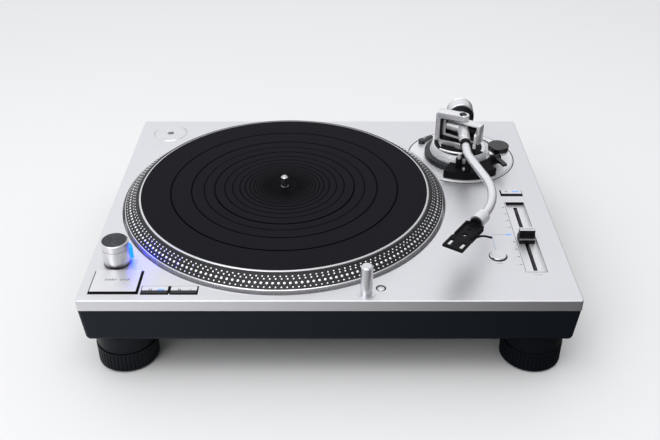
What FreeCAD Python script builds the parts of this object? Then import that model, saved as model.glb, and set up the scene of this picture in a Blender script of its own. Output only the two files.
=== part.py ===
import FreeCAD, Part
import math
import os

from FreeCAD import Vector

# Direct-drive turntable. Millimetres, +X to the right, +Y to the back, +Z up.
# The origin is on the floor under the middle of the cabinet, which stands on four feet.

# Cabinet
CABINET_WIDTH = 453.0
CABINET_DEPTH = 353.0
CABINET_TOP = 91.0
PANEL_THICKNESS = 11.1
PANEL_ROUND = 1.2
PANEL_CORNER = 2.5
SHADOW_GAP = 1.0
SHADOW_INSET = 1.5
BASE_BOTTOM = 42.0
BASE_LEAN = 2.7
BASE_ROUND = 6.0
BASE_CORNER = 4.0
BASE_WALL = 6.0
LEDGE_WIDTH = 8.0
LEDGE_HEIGHT = 6.0
COVER_THICKNESS = 2.5
COVER_CLEARANCE = 0.3
COVER_LIP = 2.0
SCREW_RADIUS = 1.5
SCREW_HEAD_RADIUS = 3.0
SCREW_HEAD_HEIGHT = 1.6
SCREW_LENGTH = 7.0

# Feet
FOOT_X = 195.0
FOOT_Y = 142.5
FOOT_RADIUS = 29.0
FOOT_FLARE = 1.0
CUP_HEIGHT = 19.2
CUP_WALL = 3.0
CUP_ROOF = 4.0
RING_GAP = 0.8
SOLE_RADIUS = 26.0
SOLE_HEIGHT = 1.2
RING_LIP = 2.4
COLLAR_CLEARANCE = 0.5
COLLAR_WALL = 3.0
COLLAR_HEIGHT = 11.0
STUD_RADIUS = 4.0
STUD_TOP = 60.0
STUD_CLEARANCE = 0.05
STUD_SEAT = 14.0
FOOT_BLOCK = 12.0
FOOT_BLOCK_TOP = 62.0
FLUTE_COUNT = 48
FLUTE_RADIUS = 0.9

# Platter and drive
PLATTER_X = -47.0
PLATTER_Y = 0.8
PLATTER_RADIUS = 166.0
PLATTER_GAP = 3.0
WELL_DEPTH = 16.0
WELL_WALL = 3.0
PLATTER_EDGE = 3.0
PLATTER_SKIRT = 12.0
SKIRT_WALL = 8.0
BEVEL_WIDTH = 12.5
BEVEL_RISE = 9.0
LIP_WIDTH = 4.0
LIP_RISE = 0.5
MAT_RECESS = 3.0
MAT_THICKNESS = 3.8
MAT_CLEARANCE = 0.5
MAT_GROOVE_RADII = (118.5, 97.0, 73.5)
MAT_GROOVE_WIDTH = 1.2
MAT_GROOVE_DEPTH = 0.8
WEB_THICKNESS = 5.0
HUB_RADIUS = 20.0
HUB_DROP = 5.5
SPINDLE_RADIUS = 3.6
SPINDLE_RISE = 11.5
SPINDLE_POINT = 1.2
SPINDLE_SHOULDER = 0.3
SHAFT_RADIUS = 5.0
SHAFT_CLEARANCE = 0.05
BEARING_RADIUS = 13.0
BEARING_BOTTOM = 50.0
BEARING_FLOOR = 2.0
BEARING_GAP = 0.5
FLANGE_RADIUS = 19.0
FLANGE_THICKNESS = 3.0
STATOR_INNER = 21.0
STATOR_OUTER = 50.0
STATOR_BOARD = 2.0
COIL_COUNT = 9
COIL_RADIUS = 8.0
COIL_CIRCLE = 38.0
COIL_HEIGHT = 7.0
MAGNET_GAP = 2.5
MAGNET_WALL = 8.0
MAGNET_HEIGHT = 12.0

# Controls on the left
KNOB_X = -200.0
KNOB_Y = -117.0
KNOB_RADIUS = 12.75
KNOB_TOP = 25.0
KNOB_CAP_HEIGHT = 7.0
KNOB_CHAMFER = 0.8
KNOB_GAP = 0.4
KNOB_STEM = 9.0
KNOB_STEM_LENGTH = 14.0
KNOB_SHAFT = 4.0
KNOB_CLEARANCE = 0.05
WINDOW_WIDTH = 8.0
WINDOW_REACH = 2.5
WINDOW_INSET = 3.0
WINDOW_BOTTOM = 3.0
WINDOW_HEIGHT = 12.0
WINDOW_DIRECTION = 25.0
START_X = -195.15
START_Y = -148.15
START_WIDTH = 41.9
START_DEPTH = 32.3
START_RISE = 1.6
SPEED_WIDTH = 23.5
SPEED_DEPTH = 10.0
SPEED_X = -144.65
SPEED_Y = -160.0
SPEED_SPLIT = 2.8
SPEED_RISE = 0.2
BUTTON_GAP = 0.6
BUTTON_BODY = 9.0
BUTTON_ROUND = 0.6
BUTTON_TRAVEL = 1.2
BUTTON_SPRING_GAP = 0.4
STEM_RADIUS = 2.5
STEM_LENGTH = 4.0
TRAY_FLOOR = 2.0
TRAY_WALL = 1.0
STROKE_CLEARANCE = 0.2
ADAPTER_X = -190.1
ADAPTER_Y = 144.0
ADAPTER_RADIUS = 19.1
ADAPTER_THICKNESS = 6.0
ADAPTER_RISE = 0.4
ADAPTER_CLEARANCE = 0.25
ADAPTER_BORE = 3.66

# Stylus lamp
LAMP_X = 33.3
LAMP_Y = -164.0
LAMP_RADIUS = 5.5
LAMP_TOP = 30.0
LAMP_TRAVEL = 22.0
LAMP_ROOT = 10.0
LAMP_CHAMFER = 1.2
LAMP_CLEARANCE = 0.05
SLEEVE_WALL = 1.2
SLEEVE_FLANGE = 2.0
SLEEVE_FLANGE_HEIGHT = 0.6
LAMP_BUTTON_X = 46.8
LAMP_BUTTON_Y = -157.5
LAMP_BUTTON_RADIUS = 4.5
LAMP_BUTTON_DEPTH = 1.0

# Speed fader
FADER_X = 193.5
FADER_Y = -72.2
FADER_WIDTH = 19.2
FADER_LENGTH = 122.0
FADER_REST = -5.0
FADER_SINK = 3.0
FADER_PLATE = 2.0
SLOT_WIDTH = 3.8
SLOT_LENGTH = 110.0
FADER_KNOB_WIDTH = 15.2
FADER_KNOB_LENGTH = 12.6
FADER_KNOB_HEIGHT = 13.2
FADER_KNOB_RIDGE = 5.4
FADER_KNOB_LIP = 1.4
FADER_KNOB_LIP_HEIGHT = 4.6
FADER_KNOB_HOLLOW = 1.2
FADER_KNOB_FLOAT = 0.4
FADER_STEM_WIDTH = 3.0
FADER_STEM_LENGTH = 5.0
FADER_STEM_DROP = 12.0
FADER_BODY_WIDTH = 14.0
FADER_BODY_HEIGHT = 9.0
FADER_BODY_ROOF = 2.0
RESET_X = 161.0
RESET_Y = -107.0
RESET_RADIUS = 8.0
RESET_RISE = 1.2
RANGE_X = 194.0
RANGE_Y = 9.2
RANGE_WIDTH = 21.5
RANGE_DEPTH = 7.1
RANGE_RISE = 0.3

# Tonearm base
PIVOT_X = 149.5
PIVOT_Y = 87.0
BASE_PLATE_RADIUS = 57.0
BASE_PLATE_THICKNESS = 1.5
COLUMN_RADIUS = 24.0
COLUMN_CLEARANCE = 0.05
COLUMN_BORE = 14.0
COLUMN_DEPTH = 26.0
GUIDE_WALL = 4.0
DIAL_INNER = 34.0
DIAL_OUTER = 41.0
DIAL_HEIGHT = 5.6
DIAL_CLEARANCE = 0.3
DIAL_SIDE_CLEARANCE = 0.08
DIAL_FLUTES = 60
HEIGHT_TRAVEL = 6.0
TERRACE_RADIUS = 35.0
TERRACE_STEP = 2.0
TERRACE_TOP_RADIUS = 27.0
DECK_HEIGHT = 14.0
DECK_CLEARANCE = 0.4
REST_DECK_RADIUS = 56.0
REST_DECK_TOP = 10.5
REST_DECK_THICKNESS = 2.5
REST_DECK_START = 243.0
REST_DECK_END = 306.0
LEVER_DECK_END = 330.0
LEVER_DECK_RADIUS = 46.0
SKIRT_INNER = 43.0
SKIRT_BOTTOM = 2.2

# Tonearm bearings, heights above the top panel
ARM_HEIGHT = 35.5
YOKE_ANGLE = -24.0
YOKE_INNER = 24.6
YOKE_POST = 5.0
YOKE_DEPTH = 11.5
YOKE_ARM = 6.6
YOKE_TOP = 56.0
YOKE_FOOT_TOP = 19.5
YOKE_SCREW_RADIUS = 3.2
YOKE_SCREW_HEAD = 1.2
YOKE_SCREW_SLOT = 0.8
SWING_PIN_RADIUS = 2.0
PIN_CLEARANCE = 0.05
PIN_DEPTH = 2.5
FRAME_HALF_WIDTH = 22.8
FRAME_BAR = 4.0
FRAME_DEPTH = 7.0
FRAME_HALF_HEIGHT = 11.8
FRAME_CORNER = 1.5
TILT_PIN_RADIUS = 1.6
CROSS_RADIUS = 5.2
CROSS_GAP = 0.5
HUB_BARREL_RADIUS = 6.2
HUB_BARREL_BACK = 11.0
HUB_BARREL_FRONT = 17.0

# Tonearm tube, headshell and weight
EFFECTIVE_LENGTH = 230.0
REST_ANGLE = 9.2
OFFSET_ANGLE = 25.0
FIRST_SPLAY = 6.2
SECOND_SPLAY = 22.9
FIRST_CORNER = 58.6
FIRST_BEND = 110.0
SECOND_BEND = 88.0
TUBE_RADIUS = 4.5
TUBE_END = 46.0
SOCKET_RADIUS = 3.0
SOCKET_CLEARANCE = 0.05
SOCKET_DEPTH = 14.0
NUT_RADIUS = 7.0
NUT_FRONT = 44.3
NUT_LENGTH = 14.0
NUT_CLEARANCE = 0.06
NUT_RIBS = 18
HEADSHELL_FRONT = 3.8
HEADSHELL_REAR = 36.0
HEADSHELL_WIDTH = 20.4
HEADSHELL_WAIST = 18.6
HEADSHELL_STEP = 20.0
HEADSHELL_BOTTOM = 29.5
HEADSHELL_THICKNESS = 3.5
HEADSHELL_COLLAR = 5.6
HEADSHELL_SLIDE = 12.0
CARTRIDGE_PITCH = 12.7
CARTRIDGE_SLOT = 2.8
CARTRIDGE_SLOT_LENGTH = 16.0
WINDOW_HOLE = 2.2
WINDOW_HOLE_PITCH = 6.5
WINDOW_HOLES = 3
LIFT_RADIUS = 1.0
LIFT_START = 21.0
LIFT_REACH = 23.0
LIFT_RISE = 3.5
REAR_SHAFT_RADIUS = 5.5
REAR_SHAFT_LENGTH = 66.0
THREAD_CLEARANCE = 0.05
THREAD_RADIUS = 8.0
WEIGHT_FRONT = 31.0
WEIGHT_LENGTH = 29.0
WEIGHT_RADIUS = 15.0
WEIGHT_GROOVE = 1.0
FORCE_RING_LENGTH = 3.0
FORCE_RING_RADIUS = 14.4
FORCE_RING_GAP = 0.3
THREAD_FLANGE = 10.5

# Arm rest, cue lever, side-force dial and lock lever
REST_DISTANCE = 51.0
REST_LENGTH = 6.0
REST_POST_RADIUS = 3.0
REST_WALL = 3.0
REST_SADDLE = 3.0
REST_GAP = 0.3
REST_WALL_TOP = 39.7
REST_WALL_GAP = 1.5
CLAMP_RADIUS = 1.6
CLAMP_ARM = 13.0
CLAMP_THICKNESS = 2.0
CUE_BAR_CIRCLE = 43.0
CUE_BAR_RADIUS = 1.2
CUE_BAR_DROP = 2.5
CUE_BAR_START = 228.0
CUE_BAR_END = 270.0
CUE_ROD_ANGLE = 259.0
CUE_ROD_RADIUS = 1.8
CUE_CYLINDER_RADIUS = 3.6
CUE_CYLINDER_TOP = 21.0
CUE_CLEARANCE = 0.05
CUE_LEVER_X = 184.7
CUE_LEVER_Y = 59.0
CUE_LEVER_HEIGHT = 14.5
CUE_LEVER_ANGLE = 20.6
CUE_LEVER_LENGTH = 19.0
CUE_LEVER_WIDTH = 5.0
CUE_LEVER_THICKNESS = 2.6
CUE_LEVER_PIN = 1.5
CUE_EAR_RADIUS = 3.0
CUE_EAR_WIDTH = 1.6
CUE_EAR_GAP = 0.3
SIDE_DIAL_X = 189.3
SIDE_DIAL_Y = 76.5
SIDE_DIAL_RADIUS = 11.5
SIDE_DIAL_HEIGHT = 8.2
SIDE_DIAL_BOTTOM = 12.8
SIDE_BRACKET_WIDTH = 12.0
SIDE_BRACKET_THICKNESS = 2.5
SIDE_POST_RADIUS = 3.0
SIDE_CLEARANCE = 0.05
LOCK_X = 108.0
LOCK_Y = 117.0
LOCK_RADIUS = 4.0
LOCK_LENGTH = 19.0
LOCK_WIDTH = 4.0
LOCK_HEIGHT = 4.0
LOCK_PIN = 2.0
LOCK_ANGLE = 47.0

# Inner and rear pieces
BOARD_WIDTH = 150.0
BOARD_DEPTH = 90.0
BOARD_THICKNESS = 1.6
BOARD_X = 60.0
BOARD_Y = -90.0
BOARD_POST = 3.0
BOARD_POST_HEIGHT = 6.0
SUPPLY_X = -90.0
SUPPLY_Y = 112.0
SUPPLY_WIDTH = 120.0
SUPPLY_DEPTH = 60.0
SUPPLY_HEIGHT = 22.0
INLET_X = -118.0
INLET_Z = 61.0
INLET_WIDTH = 28.0
INLET_HEIGHT = 20.0
INLET_DEPTH = 24.0
INLET_SOCKET_WIDTH = 24.2
INLET_SOCKET_HEIGHT = 16.2
INLET_SOCKET_DEPTH = 16.0
INLET_PIN_COUNT = 3
INLET_PIN_PITCH = 7.0
TERMINAL_X = 100.0
TERMINAL_Z = 63.0
TERMINAL_WIDTH = 62.0
TERMINAL_HEIGHT = 24.0
TERMINAL_RECESS = 14.0
TERMINAL_PLATE = 2.0
PHONO_PITCH = 16.0
PHONO_RADIUS = 4.15
PHONO_BORE = 1.7
PHONO_LENGTH = 9.0
PHONO_FLANGE = 5.8
GROUND_RADIUS = 4.0
HINGE_X = 165.0
HINGE_WIDTH = 36.0
HINGE_HEIGHT = 24.0
HINGE_DEPTH = 14.0
HINGE_SLOT_WIDTH = 26.0
HINGE_SLOT_HEIGHT = 14.0
HINGE_SLOT_DEPTH = 10.0

UP = Vector(0, 0, 1)
ORIGIN = Vector(0, 0, 0)
HALF_WIDTH = CABINET_WIDTH / 2
HALF_DEPTH = CABINET_DEPTH / 2
PANEL_BOTTOM = CABINET_TOP - PANEL_THICKNESS
WELL_RADIUS = PLATTER_RADIUS + PLATTER_GAP
WELL_FLOOR = CABINET_TOP - WELL_DEPTH
AXIS_Z = CABINET_TOP + ARM_HEIGHT
HEAD_ANGLE = -(REST_ANGLE + OFFSET_ANGLE)
EPSILON = 1.0


def box(x0, x1, y0, y1, z0, z1):
    return Part.makeBox(x1 - x0, y1 - y0, z1 - z0, Vector(x0, y0, z0))


def centred_box(width, depth, z0, z1, x=0.0, y=0.0):
    return box(x - width / 2, x + width / 2, y - depth / 2, y + depth / 2, z0, z1)


def cylinder(radius, z0, z1, x=0.0, y=0.0):
    return Part.makeCylinder(radius, z1 - z0, Vector(x, y, z0))


def ring(outer, inner, z0, z1, x=0.0, y=0.0):
    return cylinder(outer, z0, z1, x, y).cut(cylinder(inner, z0 - EPSILON, z1 + EPSILON, x, y))


def rod(radius, start, end):
    along = end.sub(start)
    return Part.makeCylinder(radius, along.Length, start, along)


def revolved(profile, x=0.0, y=0.0):
    """Solid of revolution about an upright axis, from (radius, height) points."""
    points = [Vector(radius, 0, z) for radius, z in profile]
    face = Part.Face(Part.makePolygon(points + points[:1]))
    solid = face.revolve(ORIGIN, UP, 360)
    if solid.Volume < 0:
        solid.reverse()
    solid.translate(Vector(x, y, 0))
    return solid


def prism(outline, z0, z1):
    """Upright prism over (x, y) points."""
    points = [Vector(x, y, z0) for x, y in outline]
    face = Part.Face(Part.makePolygon(points + points[:1]))
    return face.extrude(Vector(0, 0, z1 - z0))


def sector(inner, outer, start, end, z0, z1):
    """Part of a flat ring between two directions in degrees, about the Z axis."""
    solid = Part.makeCylinder(outer, z1 - z0, Vector(0, 0, z0), UP, end - start)
    solid = solid.cut(cylinder(inner, z0 - EPSILON, z1 + EPSILON))
    solid.rotate(ORIGIN, UP, start)
    return solid


def rounded(solid, radius, wanted):
    """The solid with a fillet on each edge that wanted(edge) picks."""
    edges = [edge for edge in solid.Edges if wanted(edge)]
    return solid.makeFillet(radius, edges)


def chamfered(solid, size, wanted):
    edges = [edge for edge in solid.Edges if wanted(edge)]
    return solid.makeChamfer(size, edges)


def upright(edge):
    ends = edge.Vertexes
    if len(ends) != 2:
        return False
    along = ends[1].Point.sub(ends[0].Point)
    return abs(along.z) > 0.9 * along.Length


def at_height(z):
    def wanted(edge):
        box_of_edge = edge.BoundBox
        return abs(box_of_edge.ZMin - z) < 0.01 and abs(box_of_edge.ZMax - z) < 0.01

    return wanted


def fused(first, *others):
    return first.multiFuse(list(others)).removeSplitter()


def around(shape, count, centre):
    """Copies of a shape, evenly turned about an upright axis through a point."""
    copies = []
    for step in range(count):
        copy = shape.copy()
        copy.rotate(centre, UP, 360 * step / count)
        copies.append(copy)
    return copies


def at_pivot(shape, angle=0.0):
    """A shape made about the origin, turned and set on the tonearm's swing axis."""
    shape.rotate(ORIGIN, UP, angle)
    shape.translate(Vector(PIVOT_X, PIVOT_Y, 0))
    return shape


def polar(radius, angle, z=0.0):
    turn = math.radians(angle)
    return Vector(radius * math.cos(turn), radius * math.sin(turn), z)


# Cabinet pieces


def base_outline(half_width, half_depth, z):
    corners = [
        Vector(-half_width, -half_depth, z),
        Vector(half_width, -half_depth, z),
        Vector(half_width, half_depth, z),
        Vector(-half_width, half_depth, z),
    ]
    return Part.makePolygon(corners + corners[:1])


def button_places():
    """Each flat button's middle, width and depth, as x, y, width, depth."""
    half_pitch = (SPEED_WIDTH + SPEED_SPLIT) / 2
    return {
        "start_stop_button": (START_X, START_Y, START_WIDTH, START_DEPTH),
        "speed_button_33": (SPEED_X - half_pitch, SPEED_Y, SPEED_WIDTH, SPEED_DEPTH),
        "speed_button_45": (SPEED_X + half_pitch, SPEED_Y, SPEED_WIDTH, SPEED_DEPTH),
        "range_button": (RANGE_X, RANGE_Y, RANGE_WIDTH, RANGE_DEPTH),
    }


def well_cutter(extra):
    return cylinder(WELL_RADIUS + extra, 0, 2 * CABINET_TOP, PLATTER_X, PLATTER_Y)


def panel_holes():
    below = PANEL_BOTTOM - EPSILON
    above = CABINET_TOP + EPSILON
    holes = []
    for x, y, width, depth in button_places().values():
        holes.append(centred_box(width + 2 * BUTTON_GAP, depth + 2 * BUTTON_GAP, below, above, x, y))
    half_split = SPEED_SPLIT
    holes.append(centred_box(half_split, SPEED_DEPTH + 2 * BUTTON_GAP, below, above, SPEED_X, SPEED_Y))
    holes.append(cylinder(KNOB_STEM + KNOB_CLEARANCE, below, above, KNOB_X, KNOB_Y))
    holes.append(cylinder(LAMP_RADIUS + SLEEVE_WALL, below, above, LAMP_X, LAMP_Y))
    holes.append(cylinder(LAMP_BUTTON_RADIUS + STROKE_CLEARANCE, below, above, LAMP_BUTTON_X, LAMP_BUTTON_Y))
    holes.append(cylinder(RESET_RADIUS + BUTTON_GAP, below, above, RESET_X, RESET_Y))
    holes.append(cylinder(COLUMN_RADIUS + COLUMN_CLEARANCE + GUIDE_WALL, below, above, PIVOT_X, PIVOT_Y))
    holes.append(centred_box(SLOT_WIDTH, SLOT_LENGTH, below, above, FADER_X, FADER_Y))
    sink = CABINET_TOP - FADER_SINK - FADER_PLATE
    holes.append(centred_box(FADER_WIDTH, FADER_LENGTH, sink, above, FADER_X, FADER_Y))
    seat = CABINET_TOP + ADAPTER_RISE - ADAPTER_THICKNESS
    holes.append(cylinder(ADAPTER_RADIUS + ADAPTER_CLEARANCE, seat, above, ADAPTER_X, ADAPTER_Y))
    holes.append(cylinder(BEARING_RADIUS, 0, above, PLATTER_X, PLATTER_Y))
    return holes


def make_top_panel():
    slab = centred_box(CABINET_WIDTH, CABINET_DEPTH, PANEL_BOTTOM, CABINET_TOP)
    slab = rounded(slab, PANEL_CORNER, upright)
    slab = rounded(slab, PANEL_ROUND, at_height(CABINET_TOP))
    pan_top = CABINET_TOP - PANEL_ROUND
    pan = cylinder(WELL_RADIUS + WELL_WALL, WELL_FLOOR - WELL_WALL, pan_top, PLATTER_X, PLATTER_Y)
    well = cylinder(WELL_RADIUS, WELL_FLOOR, CABINET_TOP + EPSILON, PLATTER_X, PLATTER_Y)
    panel = fused(slab, pan).cut(well)
    for hole in panel_holes():
        panel = panel.cut(hole)
    return panel


def rear_pockets(extra=0.0):
    """The three kinds of opening in the rear wall, grown by extra for their surrounds."""
    rear = HALF_DEPTH + EPSILON
    inlet = box(
        INLET_X - INLET_WIDTH / 2 - extra,
        INLET_X + INLET_WIDTH / 2 + extra,
        HALF_DEPTH - BASE_LEAN - INLET_DEPTH - extra,
        rear,
        INLET_Z - INLET_HEIGHT / 2 - extra,
        INLET_Z + INLET_HEIGHT / 2 + extra,
    )
    terminals = box(
        TERMINAL_X - TERMINAL_WIDTH / 2 - extra,
        TERMINAL_X + TERMINAL_WIDTH / 2 + extra,
        HALF_DEPTH - BASE_LEAN - TERMINAL_RECESS - extra,
        rear,
        TERMINAL_Z - TERMINAL_HEIGHT / 2 - extra,
        TERMINAL_Z + TERMINAL_HEIGHT / 2 + extra,
    )
    pockets = [inlet, terminals]
    hinge_top = PANEL_BOTTOM - SHADOW_GAP
    for side in (-1, 1):
        pockets.append(
            box(
                side * HINGE_X - HINGE_WIDTH / 2 - extra,
                side * HINGE_X + HINGE_WIDTH / 2 + extra,
                HALF_DEPTH - BASE_LEAN - HINGE_DEPTH - extra,
                rear,
                hinge_top - HINGE_HEIGHT - extra,
                hinge_top,
            )
        )
    return pockets


def foot_places():
    return [(x, y) for y in (-FOOT_Y, FOOT_Y) for x in (-FOOT_X, FOOT_X)]


def foot_blocks(extra, z0, z1):
    """The solid corners of the base over the feet."""
    reach_x = HALF_WIDTH
    reach_y = HALF_DEPTH
    blocks = []
    for x, y in foot_places():
        side_x = math.copysign(1, x)
        side_y = math.copysign(1, y)
        near_x = x - side_x * (FOOT_BLOCK + extra)
        near_y = y - side_y * (FOOT_BLOCK + extra)
        xs = sorted((near_x, side_x * reach_x))
        ys = sorted((near_y, side_y * reach_y))
        blocks.append(box(xs[0], xs[1], ys[0], ys[1], z0, z1))
    return blocks


def base_body():
    """The outside of the base, with its lean and its rounded lower edge."""
    top = PANEL_BOTTOM - SHADOW_GAP
    lower = base_outline(HALF_WIDTH - BASE_LEAN, HALF_DEPTH - BASE_LEAN, BASE_BOTTOM)
    upper = base_outline(HALF_WIDTH, HALF_DEPTH, top)
    body = Part.makeLoft([lower, upper], True, True)
    body = rounded(body, BASE_ROUND, at_height(BASE_BOTTOM))
    return rounded(body, BASE_CORNER, upright)


def make_base_shell():
    outer = base_body()
    neck_width = CABINET_WIDTH - 2 * SHADOW_INSET
    neck_depth = CABINET_DEPTH - 2 * SHADOW_INSET
    neck = centred_box(neck_width, neck_depth, PANEL_BOTTOM - SHADOW_GAP, PANEL_BOTTOM)
    inner_width = CABINET_WIDTH - 2 * (BASE_LEAN + BASE_WALL)
    inner_depth = CABINET_DEPTH - 2 * (BASE_LEAN + BASE_WALL)
    ledge_bottom = BASE_BOTTOM + COVER_THICKNESS
    ledge_top = ledge_bottom + LEDGE_HEIGHT
    cavity = centred_box(inner_width, inner_depth, ledge_top, PANEL_BOTTOM + EPSILON)
    mouth_width = inner_width - 2 * LEDGE_WIDTH
    mouth_depth = inner_depth - 2 * LEDGE_WIDTH
    mouth = centred_box(mouth_width, mouth_depth, BASE_BOTTOM - EPSILON, ledge_top)
    rebate_width = inner_width - 2 * COVER_LIP
    rebate_depth = inner_depth - 2 * COVER_LIP
    rebate = centred_box(rebate_width, rebate_depth, BASE_BOTTOM - EPSILON, ledge_bottom)
    hollow = fused(cavity, mouth, rebate)
    for block in foot_blocks(0.0, BASE_BOTTOM - 2 * EPSILON, FOOT_BLOCK_TOP):
        hollow = hollow.cut(block)
    inside = centred_box(
        CABINET_WIDTH - BASE_WALL,
        CABINET_DEPTH - 2 * BASE_LEAN - BASE_WALL,
        BASE_BOTTOM,
        PANEL_BOTTOM - SHADOW_GAP,
    )
    for pocket in rear_pockets(BASE_WALL / 2):
        hollow = hollow.cut(pocket.common(inside))
    shell = fused(outer, neck).cut(hollow)
    for pocket in rear_pockets():
        shell = shell.cut(pocket)
    for x, y in foot_places():
        shell = shell.cut(cylinder(STUD_RADIUS + STUD_CLEARANCE, BASE_BOTTOM - EPSILON, STUD_TOP + EPSILON, x, y))
    shell = shell.cut(well_cutter(WELL_WALL).common(
        centred_box(CABINET_WIDTH, CABINET_DEPTH, WELL_FLOOR - WELL_WALL, PANEL_BOTTOM + EPSILON)))
    for hole in cover_screw_holes():
        shell = shell.cut(hole)
    relief = cylinder(
        LAMP_RADIUS + SLEEVE_WALL + STROKE_CLEARANCE,
        lamp_sleeve_bottom() - EPSILON,
        PANEL_BOTTOM + EPSILON,
        LAMP_X,
        LAMP_Y,
    )
    return shell.cut(relief)


def cover_screw_places():
    """Three screws along each long side and one in the middle of each short side."""
    inner_width = CABINET_WIDTH - 2 * (BASE_LEAN + BASE_WALL)
    inner_depth = CABINET_DEPTH - 2 * (BASE_LEAN + BASE_WALL)
    side_x = inner_width / 2 - LEDGE_WIDTH / 2 - COVER_LIP / 2
    side_y = inner_depth / 2 - LEDGE_WIDTH / 2 - COVER_LIP / 2
    spread = FOOT_X / 2
    places = [(side, 0.0) for side in (-side_x, side_x)]
    for y in (-side_y, side_y):
        places += [(x, y) for x in (-spread, 0.0, spread)]
    return places


def cover_screw_holes():
    top = BASE_BOTTOM + SCREW_HEAD_HEIGHT + SCREW_LENGTH
    return [cylinder(SCREW_RADIUS, BASE_BOTTOM - EPSILON, top, x, y) for x, y in cover_screw_places()]


def make_bottom_cover():
    inner_width = CABINET_WIDTH - 2 * (BASE_LEAN + BASE_WALL)
    inner_depth = CABINET_DEPTH - 2 * (BASE_LEAN + BASE_WALL)
    margin = COVER_LIP + COVER_CLEARANCE
    top = BASE_BOTTOM + COVER_THICKNESS
    cover = centred_box(inner_width - 2 * margin, inner_depth - 2 * margin, BASE_BOTTOM, top)
    for block in foot_blocks(COVER_CLEARANCE, BASE_BOTTOM - EPSILON, top + EPSILON):
        cover = cover.cut(block)
    for x, y in cover_screw_places():
        cover = cover.cut(cylinder(SCREW_RADIUS, BASE_BOTTOM - EPSILON, top + EPSILON, x, y))
        cover = cover.cut(cylinder(SCREW_HEAD_RADIUS, BASE_BOTTOM - EPSILON, BASE_BOTTOM + SCREW_HEAD_HEIGHT, x, y))
    posts = []
    for side_x in (-1, 1):
        for side_y in (-1, 1):
            x = BOARD_X + side_x * (BOARD_WIDTH / 2 - 2 * BOARD_POST)
            y = BOARD_Y + side_y * (BOARD_DEPTH / 2 - 2 * BOARD_POST)
            posts.append(cylinder(BOARD_POST, top, top + BOARD_POST_HEIGHT, x, y))
    return fused(cover, *posts)


def make_cover_screws():
    screws = []
    head_top = BASE_BOTTOM + SCREW_HEAD_HEIGHT
    for x, y in cover_screw_places():
        head = cylinder(SCREW_HEAD_RADIUS, BASE_BOTTOM, head_top, x, y)
        shank = cylinder(SCREW_RADIUS, head_top, head_top + SCREW_LENGTH, x, y)
        screws.append(fused(head, shank))
    return Part.makeCompound(screws)


def make_main_board():
    bottom = BASE_BOTTOM + COVER_THICKNESS + BOARD_POST_HEIGHT
    board = centred_box(BOARD_WIDTH, BOARD_DEPTH, bottom, bottom + BOARD_THICKNESS, BOARD_X, BOARD_Y)
    chip = centred_box(BOARD_WIDTH / 5, BOARD_WIDTH / 5, bottom, bottom + 3 * BOARD_THICKNESS, BOARD_X, BOARD_Y)
    return fused(board, chip)


def make_power_supply():
    bottom = BASE_BOTTOM + COVER_THICKNESS
    can = centred_box(SUPPLY_WIDTH, SUPPLY_DEPTH, bottom, bottom + SUPPLY_HEIGHT, SUPPLY_X, SUPPLY_Y)
    return rounded(can, SUPPLY_HEIGHT / 8, upright)


def make_mains_inlet():
    rear = HALF_DEPTH - BASE_LEAN
    front = rear - INLET_DEPTH
    body = box(
        INLET_X - INLET_WIDTH / 2,
        INLET_X + INLET_WIDTH / 2,
        front,
        rear,
        INLET_Z - INLET_HEIGHT / 2,
        INLET_Z + INLET_HEIGHT / 2,
    )
    socket = box(
        INLET_X - INLET_SOCKET_WIDTH / 2,
        INLET_X + INLET_SOCKET_WIDTH / 2,
        rear - INLET_SOCKET_DEPTH,
        rear + EPSILON,
        INLET_Z - INLET_SOCKET_HEIGHT / 2,
        INLET_Z + INLET_SOCKET_HEIGHT / 2,
    )
    inlet = body.cut(socket)
    pins = []
    for step in range(INLET_PIN_COUNT):
        x = INLET_X + (step - (INLET_PIN_COUNT - 1) / 2) * INLET_PIN_PITCH
        pins.append(box(x - 1, x + 1, rear - INLET_SOCKET_DEPTH, rear - 5, INLET_Z - 2, INLET_Z + 2))
    return fused(inlet, *pins)


def make_phono_terminals():
    front = HALF_DEPTH - BASE_LEAN - TERMINAL_RECESS
    plate = box(
        TERMINAL_X - TERMINAL_WIDTH / 2,
        TERMINAL_X + TERMINAL_WIDTH / 2,
        front,
        front + TERMINAL_PLATE,
        TERMINAL_Z - TERMINAL_HEIGHT / 2,
        TERMINAL_Z + TERMINAL_HEIGHT / 2,
    )
    face_y = front + TERMINAL_PLATE
    pieces = []
    bores = []
    for side in (-1, 1):
        foot = Vector(TERMINAL_X + side * PHONO_PITCH / 2, face_y, TERMINAL_Z)
        tip = foot.add(Vector(0, PHONO_LENGTH, 0))
        pieces.append(rod(PHONO_FLANGE, foot, foot.add(Vector(0, TERMINAL_PLATE, 0))))
        pieces.append(rod(PHONO_RADIUS, foot, tip))
        bores.append(rod(PHONO_BORE, foot, tip.add(Vector(0, EPSILON, 0))))
    post = Vector(TERMINAL_X + TERMINAL_WIDTH / 2 - 2 * GROUND_RADIUS, face_y, TERMINAL_Z)
    pieces.append(rod(GROUND_RADIUS / 2, post, post.add(Vector(0, PHONO_LENGTH, 0))))
    cap = post.add(Vector(0, PHONO_LENGTH / 2, 0))
    pieces.append(rod(GROUND_RADIUS, cap, post.add(Vector(0, PHONO_LENGTH, 0))))
    terminals = fused(plate, *pieces)
    for bore in bores:
        terminals = terminals.cut(bore)
    return terminals


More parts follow.
